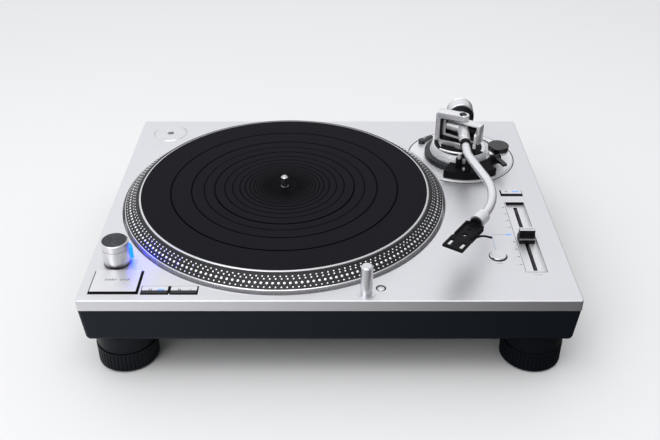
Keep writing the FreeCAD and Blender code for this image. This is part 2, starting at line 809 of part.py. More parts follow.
def make_hinge_sockets():
    rear = HALF_DEPTH - BASE_LEAN
    top = PANEL_BOTTOM - SHADOW_GAP
    middle_z = top - HINGE_HEIGHT / 2
    sockets = []
    for side in (-1, 1):
        x = side * HINGE_X
        block = box(x - HINGE_WIDTH / 2, x + HINGE_WIDTH / 2, rear - HINGE_DEPTH, rear, top - HINGE_HEIGHT, top)
        slot = box(
            x - HINGE_SLOT_WIDTH / 2,
            x + HINGE_SLOT_WIDTH / 2,
            rear - HINGE_SLOT_DEPTH,
            rear + EPSILON,
            middle_z - HINGE_SLOT_HEIGHT / 2,
            middle_z + HINGE_SLOT_HEIGHT / 2,
        )
        sockets.append(block.cut(slot))
    return Part.makeCompound(sockets)


# Feet


def make_foot_cups():
    cups = []
    bottom = BASE_BOTTOM - CUP_HEIGHT
    inner = FOOT_RADIUS - CUP_WALL
    for x, y in foot_places():
        profile = [
            (STUD_RADIUS + STUD_CLEARANCE, BASE_BOTTOM - CUP_ROOF),
            (inner, BASE_BOTTOM - CUP_ROOF),
            (inner, bottom),
            (FOOT_RADIUS - FOOT_FLARE, bottom),
            (FOOT_RADIUS, BASE_BOTTOM),
            (STUD_RADIUS + STUD_CLEARANCE, BASE_BOTTOM),
        ]
        cups.append(revolved(profile, x, y))
    return Part.makeCompound(cups)


def make_foot_stud(x, y):
    ring_top = BASE_BOTTOM - CUP_HEIGHT - RING_GAP
    flange = cylinder(2 * STUD_RADIUS, STUD_SEAT, ring_top, x, y)
    return fused(flange, cylinder(STUD_RADIUS, STUD_SEAT, STUD_TOP, x, y))


def make_foot_ring(x, y):
    ring_top = BASE_BOTTOM - CUP_HEIGHT - RING_GAP
    collar = FOOT_RADIUS - CUP_WALL - COLLAR_CLEARANCE
    well = 2 * STUD_RADIUS + STUD_CLEARANCE
    profile = [
        (0, 0),
        (SOLE_RADIUS, 0),
        (SOLE_RADIUS, SOLE_HEIGHT),
        (FOOT_RADIUS - 1, SOLE_HEIGHT),
        (FOOT_RADIUS, SOLE_HEIGHT + 1),
        (FOOT_RADIUS, ring_top),
        (collar, ring_top),
        (collar, ring_top + COLLAR_HEIGHT),
        (collar - COLLAR_WALL, ring_top + COLLAR_HEIGHT),
        (collar - COLLAR_WALL, ring_top),
        (well, ring_top),
        (well, STUD_SEAT),
        (0, STUD_SEAT),
    ]
    body = revolved(profile, x, y)
    flute_bottom = SOLE_HEIGHT + RING_LIP
    flute = cylinder(FLUTE_RADIUS, flute_bottom, ring_top - RING_LIP / 2, x + FOOT_RADIUS, y)
    flutes = around(flute, FLUTE_COUNT, Vector(x, y, 0))
    return body.cut(Part.makeCompound(flutes))


# Platter and drive


def make_spindle_bearing():
    hub_bottom = CABINET_TOP + BEVEL_RISE + PLATTER_EDGE + LIP_RISE - MAT_RECESS - WEB_THICKNESS - HUB_DROP
    top = hub_bottom - BEARING_GAP
    body = cylinder(BEARING_RADIUS, BEARING_BOTTOM, top, PLATTER_X, PLATTER_Y)
    flange = cylinder(FLANGE_RADIUS, WELL_FLOOR, WELL_FLOOR + FLANGE_THICKNESS, PLATTER_X, PLATTER_Y)
    bore = cylinder(
        SHAFT_RADIUS + SHAFT_CLEARANCE,
        BEARING_BOTTOM + BEARING_FLOOR,
        top + EPSILON,
        PLATTER_X,
        PLATTER_Y,
    )
    return fused(body, flange).cut(bore)


def make_motor_stator():
    board_top = WELL_FLOOR + STATOR_BOARD
    board = ring(STATOR_OUTER, STATOR_INNER, WELL_FLOOR, board_top, PLATTER_X, PLATTER_Y)
    coil = cylinder(COIL_RADIUS, board_top, board_top + COIL_HEIGHT, PLATTER_X + COIL_CIRCLE, PLATTER_Y)
    return fused(board, *around(coil, COIL_COUNT, Vector(PLATTER_X, PLATTER_Y, 0)))


def platter_levels():
    bevel_bottom = CABINET_TOP + PLATTER_EDGE
    bevel_top = bevel_bottom + BEVEL_RISE
    lip_top = bevel_top + LIP_RISE
    seat = lip_top - MAT_RECESS
    web = seat - WEB_THICKNESS
    return bevel_bottom, bevel_top, lip_top, seat, web


def make_platter():
    bevel_bottom, bevel_top, lip_top, seat, web = platter_levels()
    skirt_bottom = CABINET_TOP - PLATTER_SKIRT
    crest = PLATTER_RADIUS - BEVEL_WIDTH
    profile = [
        (SHAFT_RADIUS, web - HUB_DROP),
        (HUB_RADIUS, web - HUB_DROP),
        (HUB_RADIUS, web),
        (PLATTER_RADIUS - SKIRT_WALL, web),
        (PLATTER_RADIUS - SKIRT_WALL, skirt_bottom),
        (PLATTER_RADIUS, skirt_bottom),
        (PLATTER_RADIUS, bevel_bottom),
        (crest, bevel_top),
        (crest - LIP_RISE, lip_top),
        (crest - LIP_WIDTH, lip_top),
        (crest - LIP_WIDTH, seat),
        (SHAFT_RADIUS, seat),
    ]
    return revolved(profile, PLATTER_X, PLATTER_Y)


def make_rubber_mat():
    seat = platter_levels()[3]
    radius = PLATTER_RADIUS - BEVEL_WIDTH - LIP_WIDTH - MAT_CLEARANCE
    top = seat + MAT_THICKNESS
    floor = top - MAT_GROOVE_DEPTH
    half = MAT_GROOVE_WIDTH / 2
    profile = [(SPINDLE_RADIUS + MAT_CLEARANCE, seat), (radius, seat), (radius, top)]
    for groove in MAT_GROOVE_RADII:
        profile += [(groove + half, top), (groove + half, floor), (groove - half, floor), (groove - half, top)]
    profile.append((SPINDLE_RADIUS + MAT_CLEARANCE, top))
    return revolved(profile, PLATTER_X, PLATTER_Y)


def make_rotor_magnet():
    web = platter_levels()[4]
    inner = STATOR_OUTER + MAGNET_GAP
    return ring(inner + MAGNET_WALL, inner, web - MAGNET_HEIGHT, web, PLATTER_X, PLATTER_Y)


def make_spindle():
    seat = platter_levels()[3]
    tip = seat + MAT_THICKNESS + SPINDLE_RISE
    profile = [
        (0, BEARING_BOTTOM + BEARING_FLOOR + SHAFT_CLEARANCE),
        (SHAFT_RADIUS, BEARING_BOTTOM + BEARING_FLOOR + SHAFT_CLEARANCE),
        (SHAFT_RADIUS, seat),
        (SPINDLE_RADIUS + SPINDLE_SHOULDER, seat),
        (SPINDLE_RADIUS + SPINDLE_SHOULDER, seat + MAT_THICKNESS),
        (SPINDLE_RADIUS, seat + MAT_THICKNESS),
        (SPINDLE_RADIUS, tip - SPINDLE_POINT),
        (SPINDLE_RADIUS - SPINDLE_POINT, tip),
        (0, tip),
    ]
    return revolved(profile, PLATTER_X, PLATTER_Y)


# Controls


def knob_levels():
    top = CABINET_TOP + KNOB_TOP
    cap_bottom = top - KNOB_CAP_HEIGHT
    return cap_bottom - KNOB_GAP, cap_bottom, top


def strobe_window_block(grown=0.0):
    """The clear block at the side of the strobe housing that faces the platter."""
    block = box(
        KNOB_RADIUS - WINDOW_INSET,
        KNOB_RADIUS + WINDOW_REACH,
        -WINDOW_WIDTH / 2,
        WINDOW_WIDTH / 2,
        CABINET_TOP + WINDOW_BOTTOM,
        CABINET_TOP + WINDOW_BOTTOM + WINDOW_HEIGHT,
    )
    block.rotate(ORIGIN, UP, WINDOW_DIRECTION)
    block.translate(Vector(KNOB_X, KNOB_Y, 0))
    return block


def make_strobe_housing():
    sleeve_top = knob_levels()[0]
    body = cylinder(KNOB_RADIUS, CABINET_TOP, sleeve_top, KNOB_X, KNOB_Y)
    stem = cylinder(KNOB_STEM, CABINET_TOP - KNOB_STEM_LENGTH, CABINET_TOP, KNOB_X, KNOB_Y)
    bore = cylinder(
        KNOB_SHAFT + KNOB_CLEARANCE,
        CABINET_TOP - KNOB_STEM_LENGTH - EPSILON,
        sleeve_top + EPSILON,
        KNOB_X,
        KNOB_Y,
    )
    return fused(body, stem).cut(bore).cut(strobe_window_block())


def make_strobe_window():
    return rounded(strobe_window_block(), 1.0, upright)


def make_power_knob():
    cap_bottom, top = knob_levels()[1:]
    cap = cylinder(KNOB_RADIUS, cap_bottom, top, KNOB_X, KNOB_Y)
    cap = chamfered(cap, KNOB_CHAMFER, at_height(top))
    shaft = cylinder(KNOB_SHAFT, CABINET_TOP - KNOB_STEM_LENGTH, cap_bottom, KNOB_X, KNOB_Y)
    return fused(cap, shaft)


def make_flat_button(name, rise):
    x, y, width, depth = button_places()[name]
    top = CABINET_TOP + rise
    bottom = CABINET_TOP - BUTTON_BODY
    body = centred_box(width, depth, bottom, top, x, y)
    body = rounded(body, BUTTON_ROUND, upright)
    stem = cylinder(STEM_RADIUS, bottom - STEM_LENGTH, bottom, x, y)
    return fused(body, stem)


def tray_floor_top():
    return CABINET_TOP - BUTTON_BODY - BUTTON_TRAVEL - BUTTON_SPRING_GAP


def button_tray_box(x, y, width, depth):
    """An open box under the panel, for a flat button and its stem."""
    floor_top = min(tray_floor_top(), PANEL_BOTTOM)
    outer_width = width + 2 * (BUTTON_GAP + TRAY_WALL)
    outer_depth = depth + 2 * (BUTTON_GAP + TRAY_WALL)
    return centred_box(outer_width, outer_depth, floor_top - TRAY_FLOOR, PANEL_BOTTOM, x, y)


def make_button_tray():
    places = button_places()
    trays = []
    for group in (("start_stop_button", "speed_button_33", "speed_button_45"), ("range_button",)):
        shells = [button_tray_box(*places[name]) for name in group]
        tray = fused(*shells) if len(shells) > 1 else shells[0]
        for name in group:
            x, y, width, depth = places[name]
            room = centred_box(
                width + 2 * BUTTON_GAP,
                depth + 2 * BUTTON_GAP,
                tray_floor_top(),
                PANEL_BOTTOM + EPSILON,
                x,
                y,
            )
            tray = tray.cut(room)
            tray = tray.cut(cylinder(STEM_RADIUS + STROKE_CLEARANCE, 0, PANEL_BOTTOM, x, y))
        trays.append(tray.cut(well_cutter(WELL_WALL + BUTTON_GAP)))
    return Part.makeCompound(trays)


def make_round_button(x, y, radius, rise, sink_tool=None):
    top = CABINET_TOP + rise
    bottom = PANEL_BOTTOM - BUTTON_TRAVEL
    body = cylinder(radius, bottom, top, x, y)
    return chamfered(body, BUTTON_ROUND, at_height(top))


def lamp_sleeve_bottom():
    return CABINET_TOP - LAMP_ROOT - LAMP_TRAVEL - TRAY_FLOOR


def make_lamp_sleeve():
    outer = LAMP_RADIUS + SLEEVE_WALL
    flange_top = CABINET_TOP + SLEEVE_FLANGE_HEIGHT
    bottom = lamp_sleeve_bottom()
    flange = cylinder(outer + SLEEVE_FLANGE, CABINET_TOP, flange_top, LAMP_X, LAMP_Y)
    tube = cylinder(outer, bottom, CABINET_TOP, LAMP_X, LAMP_Y)
    bore = cylinder(LAMP_RADIUS + LAMP_CLEARANCE, bottom + TRAY_FLOOR / 2, flange_top + EPSILON, LAMP_X, LAMP_Y)
    return fused(flange, tube).cut(bore)


def make_stylus_lamp():
    top = CABINET_TOP + LAMP_TOP
    lamp = cylinder(LAMP_RADIUS, CABINET_TOP - LAMP_ROOT, top, LAMP_X, LAMP_Y)
    return chamfered(lamp, LAMP_CHAMFER, at_height(top))


def make_ep_adapter():
    top = CABINET_TOP + ADAPTER_RISE
    disc = cylinder(ADAPTER_RADIUS, top - ADAPTER_THICKNESS, top, ADAPTER_X, ADAPTER_Y)
    disc = chamfered(disc, BUTTON_ROUND, at_height(top))
    bore = cylinder(ADAPTER_BORE, 0, top + EPSILON, ADAPTER_X, ADAPTER_Y)
    return disc.cut(bore)


def make_pitch_bezel():
    top = CABINET_TOP - FADER_SINK
    plate = centred_box(FADER_WIDTH, FADER_LENGTH, top - FADER_PLATE, top, FADER_X, FADER_Y)
    slot = centred_box(SLOT_WIDTH, SLOT_LENGTH, 0, top + EPSILON, FADER_X, FADER_Y)
    return plate.cut(slot)


def make_pitch_fader_body():
    length = SLOT_LENGTH + 2 * FADER_BODY_ROOF
    bottom = PANEL_BOTTOM - FADER_BODY_HEIGHT
    body = centred_box(FADER_BODY_WIDTH, length, bottom, PANEL_BOTTOM, FADER_X, FADER_Y)
    slot = centred_box(
        SLOT_WIDTH, SLOT_LENGTH, bottom + FADER_BODY_ROOF, PANEL_BOTTOM + EPSILON, FADER_X, FADER_Y
    )
    return body.cut(slot)


def make_pitch_knob():
    """Fader knob with a ridge across it and a hollow slope before and behind, on a flat stem."""
    bottom = CABINET_TOP - FADER_SINK + FADER_KNOB_FLOAT
    top = bottom + FADER_KNOB_HEIGHT
    lip_top = bottom + FADER_KNOB_LIP_HEIGHT
    half = FADER_KNOB_LENGTH / 2
    lip = half - FADER_KNOB_LIP
    ridge = FADER_KNOB_RIDGE / 2
    knob_y = FADER_Y + FADER_REST
    edges = [Part.makeLine(Vector(0, -half, bottom), Vector(0, half, bottom))]
    for side in (1, -1):
        foot = Vector(0, side * half, bottom)
        edge = Vector(0, side * half, lip_top)
        inner = Vector(0, side * lip, lip_top)
        crest = Vector(0, side * ridge, top)
        middle = (inner + crest) * 0.5 - Vector(0, side * FADER_KNOB_HOLLOW, 0)
        edges += [Part.makeLine(foot, edge), Part.makeLine(edge, inner), Part.Arc(inner, middle, crest).toShape()]
    edges.append(Part.makeLine(Vector(0, ridge, top), Vector(0, -ridge, top)))
    face = Part.Face(Part.Wire(Part.__sortEdges__(edges)))
    knob = face.extrude(Vector(FADER_KNOB_WIDTH, 0, 0))
    knob.translate(Vector(FADER_X - FADER_KNOB_WIDTH / 2, knob_y, 0))
    stem = centred_box(FADER_STEM_WIDTH, FADER_STEM_LENGTH, bottom - FADER_STEM_DROP, bottom, FADER_X, knob_y)
    return fused(knob, stem)


# Tonearm base


def make_arm_base_plate():
    plate_top = CABINET_TOP + BASE_PLATE_THICKNESS
    guide_top = plate_top + DIAL_CLEARANCE + DIAL_HEIGHT
    guide_radius = DIAL_INNER - DIAL_SIDE_CLEARANCE
    plate = cylinder(BASE_PLATE_RADIUS, CABINET_TOP, plate_top)
    guide = cylinder(guide_radius, plate_top, guide_top)
    sleeve = cylinder(COLUMN_RADIUS + COLUMN_CLEARANCE + GUIDE_WALL, CABINET_TOP - COLUMN_DEPTH, CABINET_TOP)
    bore = cylinder(COLUMN_RADIUS + COLUMN_CLEARANCE, 0, guide_top + EPSILON)
    base = at_pivot(fused(plate, guide, sleeve).cut(bore))
    base = base.cut(well_cutter(1.5))
    pin_hole = cylinder(LOCK_PIN + PIN_CLEARANCE, CABINET_TOP, plate_top + EPSILON, LOCK_X, LOCK_Y)
    return base.cut(pin_hole)


def make_height_dial():
    bottom = CABINET_TOP + BASE_PLATE_THICKNESS + DIAL_CLEARANCE
    dial = ring(DIAL_OUTER, DIAL_INNER, bottom, bottom + DIAL_HEIGHT)
    flute = cylinder(FLUTE_RADIUS, bottom - EPSILON, bottom + DIAL_HEIGHT + EPSILON, DIAL_OUTER, 0)
    return at_pivot(dial.cut(Part.makeCompound(around(flute, DIAL_FLUTES, ORIGIN))))


def dial_top():
    return CABINET_TOP + BASE_PLATE_THICKNESS + DIAL_CLEARANCE + DIAL_HEIGHT


def make_arm_platform():
    """Stepped round deck on a column, with the arm that carries the side-force dial."""
    step_bottom = dial_top() + DECK_CLEARANCE
    step_top = step_bottom + TERRACE_STEP
    deck = CABINET_TOP + DECK_HEIGHT
    profile = [
        (COLUMN_BORE, CABINET_TOP - COLUMN_DEPTH + EPSILON),
        (COLUMN_RADIUS, CABINET_TOP - COLUMN_DEPTH + EPSILON),
        (COLUMN_RADIUS, step_bottom),
        (TERRACE_RADIUS, step_bottom),
        (TERRACE_RADIUS, step_top),
        (TERRACE_TOP_RADIUS + 1, deck - 1),
        (TERRACE_TOP_RADIUS, deck),
        (COLUMN_BORE, deck),
    ]
    platform = at_pivot(revolved(profile))
    dial_top_z = CABINET_TOP + SIDE_DIAL_BOTTOM
    offset = Vector(SIDE_DIAL_X - PIVOT_X, SIDE_DIAL_Y - PIVOT_Y, 0)
    direction = math.degrees(math.atan2(offset.y, offset.x))
    half = SIDE_BRACKET_WIDTH / 2
    bracket_bottom = dial_top_z - REST_GAP - SIDE_BRACKET_THICKNESS
    bracket = box(COLUMN_RADIUS, offset.Length, -half, half, bracket_bottom, dial_top_z - REST_GAP)
    head = cylinder(half, bracket_bottom, dial_top_z - REST_GAP, offset.Length, 0)
    post = cylinder(SIDE_POST_RADIUS, bracket_bottom, dial_top_z + SIDE_DIAL_HEIGHT / 2, offset.Length, 0)
    arm = at_pivot(fused(bracket, head, post), direction)
    return fused(platform, arm)


def tube_line():
    """Path of the tube's middle about the swing axis, forward as -Y: start, corners, stylus."""
    first = Vector(math.sin(math.radians(FIRST_SPLAY)), -math.cos(math.radians(FIRST_SPLAY)), 0)
    second = Vector(math.sin(math.radians(SECOND_SPLAY)), -math.cos(math.radians(SECOND_SPLAY)), 0)
    last = Vector(-math.sin(math.radians(OFFSET_ANGLE)), -math.cos(math.radians(OFFSET_ANGLE)), 0)
    stylus = Vector(0, -EFFECTIVE_LENGTH, 0)
    start = first * HUB_BARREL_FRONT
    corner_one = first * FIRST_CORNER
    gap = stylus.sub(corner_one)
    reach = (gap.x * last.y - gap.y * last.x) / (second.x * last.y - second.y * last.x)
    corner_two = corner_one.add(second * reach)
    end = stylus.sub(last * TUBE_END)
    return start, corner_one, corner_two, end


def bent_wire(points, radii):
    """Straight runs through the points, joined by tangent arcs of the given radii."""
    edges = []
    at = points[0]
    for index, radius in enumerate(radii, start=1):
        corner = points[index]
        back = points[index - 1].sub(corner).normalize()
        ahead = points[index + 1].sub(corner).normalize()
        half_turn = (math.pi - back.getAngle(ahead)) / 2
        cut_back = radius * math.tan(half_turn)
        enter = corner.add(back * cut_back)
        leave = corner.add(ahead * cut_back)
        inward = back.add(ahead).normalize()
        middle = corner.add(inward * (radius / math.cos(half_turn) - radius))
        edges.append(Part.LineSegment(at, enter).toShape())
        edges.append(Part.Arc(enter, middle, leave).toShape())
        at = leave
    edges.append(Part.LineSegment(at, points[-1]).toShape())
    return Part.Wire(edges)


def arm_point(along, height=0.0):
    """A point on the first run of the arm, with + ahead of the swing axis and - behind it."""
    turn = math.radians(FIRST_SPLAY)
    return Vector(along * math.sin(turn), -along * math.cos(turn), AXIS_Z + height)


def swept_tube(radius, path):
    edge = path.Edges[0]
    start = edge.valueAt(edge.FirstParameter)
    along = edge.tangentAt(edge.FirstParameter)
    section = Part.Wire([Part.makeCircle(radius, start, along)])
    return path.makePipeShell([section], True, False)


def make_arm_tube():
    points = [point.add(Vector(0, 0, AXIS_Z)) for point in tube_line()]
    path = bent_wire(points, (FIRST_BEND, SECOND_BEND))
    tube = swept_tube(TUBE_RADIUS, path)
    end = points[-1]
    inward = points[-2].sub(end).normalize()
    ahead = end.sub(inward)
    socket = rod(SOCKET_RADIUS + SOCKET_CLEARANCE, ahead, end.add(inward * SOCKET_DEPTH))
    return at_pivot(tube.cut(socket), -REST_ANGLE)


def at_headshell(shape):
    """A shape made about the stylus with forward as -Y, put on the parked arm."""
    shape.rotate(ORIGIN, UP, HEAD_ANGLE)
    turn = math.radians(REST_ANGLE)
    x = PIVOT_X - EFFECTIVE_LENGTH * math.sin(turn)
    y = PIVOT_Y - EFFECTIVE_LENGTH * math.cos(turn)
    shape.translate(Vector(x, y, 0))
    return shape


def make_headshell_nut():
    start = Vector(0, NUT_FRONT, AXIS_Z)
    end = Vector(0, NUT_FRONT + NUT_LENGTH, AXIS_Z)
    body = rod(NUT_RADIUS, start, end)
    bore = rod(TUBE_RADIUS + NUT_CLEARANCE, start.sub(Vector(0, 1, 0)), end.add(Vector(0, 1, 0)))
    rib_start = start.add(Vector(NUT_RADIUS, NUT_LENGTH * 0.15, 0))
    rib_end = start.add(Vector(NUT_RADIUS, NUT_LENGTH * 0.85, 0))
    rib = rod(0.5, rib_start, rib_end)
    ribs = []
    for step in range(NUT_RIBS):
        copy = rib.copy()
        copy.rotate(start, Vector(0, 1, 0), 360 * step / NUT_RIBS)
        ribs.append(copy)
    return at_headshell(body.cut(bore).cut(Part.makeCompound(ribs)))


def make_headshell():
    z0 = CABINET_TOP + HEADSHELL_BOTTOM
    z1 = z0 + HEADSHELL_THICKNESS
    wide = HEADSHELL_WIDTH / 2
    waist = HEADSHELL_WAIST / 2
    outline = [
        (-wide + 1.5, -HEADSHELL_FRONT),
        (wide - 1.5, -HEADSHELL_FRONT),
        (wide, -HEADSHELL_FRONT + 1.5),
        (wide, HEADSHELL_STEP),
        (waist, HEADSHELL_STEP + 2),
        (waist, HEADSHELL_REAR - 3),
        (waist - 3, HEADSHELL_REAR),
        (-waist + 3, HEADSHELL_REAR),
        (-waist, HEADSHELL_REAR - 3),
        (-waist, HEADSHELL_STEP + 2),
        (-wide, HEADSHELL_STEP),
        (-wide, -HEADSHELL_FRONT + 1.5),
    ]
    plate = prism(outline, z0, z1)
    slot_start = 2.0
    for side in (-1, 1):
        x = side * CARTRIDGE_PITCH / 2
        slot = centred_box(
            CARTRIDGE_SLOT, CARTRIDGE_SLOT_LENGTH, z0 - EPSILON, z1 + EPSILON,
            x, slot_start + CARTRIDGE_SLOT_LENGTH / 2
        )
        plate = plate.cut(slot)
    for step in range(WINDOW_HOLES):
        y = slot_start + WINDOW_HOLE_PITCH * step
        plate = plate.cut(cylinder(WINDOW_HOLE, z0 - EPSILON, z1 + EPSILON, 0, y))
    collar_start = Vector(0, HEADSHELL_REAR - 6, AXIS_Z)
    collar_end = Vector(0, NUT_FRONT - REST_GAP, AXIS_Z)
    collar = rod(HEADSHELL_COLLAR, collar_start, collar_end)
    stub = rod(SOCKET_RADIUS, collar_end, Vector(0, TUBE_END + SOCKET_DEPTH - 1, AXIS_Z))
    return at_headshell(fused(plate, collar, stub))


def make_finger_lift():
    z = CABINET_TOP + HEADSHELL_BOTTOM + HEADSHELL_THICKNESS + LIFT_RADIUS
    edge = HEADSHELL_WAIST / 2
    path = bent_wire(
        [
            Vector(edge - 5, LIFT_START + 3, z),
            Vector(edge + 1, LIFT_START + 3, z),
            Vector(edge + 6, LIFT_START + 4, z + LIFT_RISE),
            Vector(LIFT_REACH, LIFT_START + 8, z + LIFT_RISE / 2),
        ],
        (4.0, 8.0),
    )
    return at_headshell(swept_tube(LIFT_RADIUS, path))


# Tonearm bearings


def make_gimbal_yoke():
    """Bracket open to one side: a foot on the deck, a post, and an arm over the swing axis."""
    deck = CABINET_TOP + DECK_HEIGHT
    foot_top = CABINET_TOP + YOKE_FOOT_TOP
    top = CABINET_TOP + YOKE_TOP
    half = YOKE_DEPTH / 2
    outer = YOKE_INNER + YOKE_POST
    post = box(-outer, -YOKE_INNER, -half, half, deck, top)
    arm = box(-outer, 0, -half, half, top - YOKE_ARM, top)
    arm_end = cylinder(half, top - YOKE_ARM, top)
    foot = box(-outer, 0, -half, half, deck, foot_top)
    foot_end = cylinder(half + 3, deck, foot_top)
    screw = cylinder(YOKE_SCREW_RADIUS, top, top + YOKE_SCREW_HEAD)
    slot = box(-YOKE_SCREW_RADIUS, YOKE_SCREW_RADIUS, -0.4, 0.4, top + YOKE_SCREW_HEAD - YOKE_SCREW_SLOT, top + 5)
    frame_top = AXIS_Z + FRAME_HALF_HEIGHT
    frame_bottom = AXIS_Z - FRAME_HALF_HEIGHT
    upper_pin = cylinder(SWING_PIN_RADIUS, frame_top - PIN_DEPTH, top - YOKE_ARM)
    lower_pin = cylinder(SWING_PIN_RADIUS, foot_top, frame_bottom + PIN_DEPTH)
    yoke = fused(post, arm, arm_end, foot, foot_end, screw, upper_pin, lower_pin)
    return at_pivot(yoke.cut(slot), YOKE_ANGLE)


def make_gimbal_frame():
    """Upright ring that swings between the yoke's pins and carries the tilt pins."""
    z0 = AXIS_Z - FRAME_HALF_HEIGHT
    z1 = AXIS_Z + FRAME_HALF_HEIGHT
    outer = centred_box(2 * FRAME_HALF_WIDTH, FRAME_DEPTH, z0, z1)

    def along_depth(edge):
        ends = edge.Vertexes
        along = ends[1].Point.sub(ends[0].Point)
        return abs(along.y) > 0.9 * along.Length

    outer = rounded(outer, FRAME_CORNER, along_depth)
    inner = centred_box(2 * (FRAME_HALF_WIDTH - FRAME_BAR), FRAME_DEPTH + 2, z0 + FRAME_BAR, z1 - FRAME_BAR)
    frame = outer.cut(inner)
    swing_bore = SWING_PIN_RADIUS + PIN_CLEARANCE
    frame = frame.cut(cylinder(swing_bore, z1 - PIN_DEPTH - PIN_CLEARANCE, z1 + EPSILON))
    frame = frame.cut(cylinder(swing_bore, z0 - EPSILON, z0 + PIN_DEPTH + PIN_CLEARANCE))
    pins = []
    for side in (-1, 1):
        start = Vector(side * (FRAME_HALF_WIDTH - FRAME_BAR), 0, AXIS_Z)
        end = Vector(side * (FRAME_HALF_WIDTH - FRAME_BAR - CROSS_GAP - PIN_DEPTH), 0, AXIS_Z)
        pins.append(rod(TILT_PIN_RADIUS, start, end))
    return at_pivot(fused(frame, *pins), HEAD_ANGLE)


def make_arm_hub():
    """Barrel along the tube with a cross-shaft housing between the tilt pins."""
    half = FRAME_HALF_WIDTH - FRAME_BAR - CROSS_GAP
    cross = rod(CROSS_RADIUS, Vector(-half, 0, AXIS_Z), Vector(half, 0, AXIS_Z))
    cross.rotate(ORIGIN, UP, -OFFSET_ANGLE)
    barrel = rod(HUB_BARREL_RADIUS, arm_point(-HUB_BARREL_BACK), arm_point(HUB_BARREL_FRONT))
    hub = fused(cross, barrel)
    for side in (-1, 1):
        start = Vector(side * (half + EPSILON), 0, AXIS_Z)
        end = Vector(side * (half - PIN_DEPTH - PIN_CLEARANCE), 0, AXIS_Z)
        bore = rod(TILT_PIN_RADIUS + PIN_CLEARANCE, start, end)
        bore.rotate(ORIGIN, UP, -OFFSET_ANGLE)
        hub = hub.cut(bore)
    return at_pivot(hub, -REST_ANGLE)


def make_rear_shaft():
    shaft = rod(REAR_SHAFT_RADIUS, arm_point(-HUB_BARREL_BACK), arm_point(-REAR_SHAFT_LENGTH))
    return at_pivot(shaft, -REST_ANGLE)


def weight_solid(outer, inner, front, length):
    body = rod(outer, arm_point(-front), arm_point(-front - length))
    bore = rod(inner, arm_point(-front + EPSILON), arm_point(-front - length - EPSILON))
    return body.cut(bore)


def make_weight_thread():
    """Threaded sleeve inside the weight, with a flange that carries the force ring."""
    front = WEIGHT_FRONT - FORCE_RING_LENGTH - FORCE_RING_GAP
    inner = REAR_SHAFT_RADIUS + THREAD_CLEARANCE
    sleeve = weight_solid(THREAD_RADIUS, inner, front, WEIGHT_LENGTH + FORCE_RING_LENGTH)
    return at_pivot(sleeve, -REST_ANGLE)


def make_counterweight():
    inner = THREAD_RADIUS + THREAD_CLEARANCE
    weight = weight_solid(WEIGHT_RADIUS, inner, WEIGHT_FRONT, WEIGHT_LENGTH)
    weight = chamfered(weight, WEIGHT_GROOVE, lambda edge: edge.Length > 6 * WEIGHT_RADIUS and edge.isClosed())
    return at_pivot(weight, -REST_ANGLE)


def make_force_ring():
    inner = THREAD_RADIUS + THREAD_CLEARANCE
    front = WEIGHT_FRONT - FORCE_RING_LENGTH - FORCE_RING_GAP
    ring_solid = weight_solid(FORCE_RING_RADIUS, inner, front, FORCE_RING_LENGTH)
    return at_pivot(ring_solid, -REST_ANGLE)


# Arm rest and small levers


def rest_side():
    """Sideways place of the tube's middle where it lies on the rest."""
    return REST_DISTANCE * math.sin(math.radians(FIRST_SPLAY))


def saddle_top():
    return AXIS_Z - TUBE_RADIUS - REST_GAP


def make_arm_rest():
    """Dark deck with the tube's saddle, the cue cylinder and the ears of the cue lever."""
    deck_top = CABINET_TOP + REST_DECK_TOP
    deck_bottom = deck_top - REST_DECK_THICKNESS
    front = sector(TERRACE_RADIUS, REST_DECK_RADIUS, REST_DECK_START, REST_DECK_END, deck_bottom, deck_top)
    side = sector(TERRACE_RADIUS, LEVER_DECK_RADIUS, REST_DECK_END - 1, LEVER_DECK_END, deck_bottom, deck_top)
    skirt = sector(
        SKIRT_INNER, REST_DECK_RADIUS, REST_DECK_START, REST_DECK_END,
        CABINET_TOP + SKIRT_BOTTOM, deck_bottom + 0.5
    )
    rod_at = polar(CUE_BAR_CIRCLE, CUE_ROD_ANGLE)
    bore_radius = CUE_ROD_RADIUS + CUE_CLEARANCE
    cylinder_top = CABINET_TOP + CUE_CYLINDER_TOP
    cue_cylinder = cylinder(CUE_CYLINDER_RADIUS, deck_bottom, cylinder_top, rod_at.x, rod_at.y)
    cue_bore = cylinder(bore_radius, deck_top, cylinder_top + EPSILON, rod_at.x, rod_at.y)
    deck = at_pivot(fused(front, side, skirt, cue_cylinder).cut(cue_bore))

    middle = rest_side()
    wall_start = middle + TUBE_RADIUS + REST_WALL_GAP
    y0 = -REST_DISTANCE - REST_LENGTH / 2
    y1 = -REST_DISTANCE + REST_LENGTH / 2
    wall_top = CABINET_TOP + REST_WALL_TOP
    saddle = box(middle - TUBE_RADIUS, wall_start + REST_WALL, y0, y1, saddle_top() - REST_SADDLE, saddle_top())
    wall = box(wall_start, wall_start + REST_WALL, y0, y1, saddle_top() - REST_SADDLE, wall_top)
    post = cylinder(REST_POST_RADIUS, deck_top, saddle_top() - REST_SADDLE, middle + REST_POST_RADIUS, -REST_DISTANCE)
    rest = at_pivot(fused(saddle, wall, post), -REST_ANGLE)
    ears = cue_lever_ears()
    return fused(deck, rest, ears)


def at_cue_lever(shape):
    """A shape made about the lever's pin with the lever as -Y, put on the deck."""
    shape.rotate(ORIGIN, UP, CUE_LEVER_ANGLE)
    shape.translate(Vector(CUE_LEVER_X, CUE_LEVER_Y, 0))
    return shape


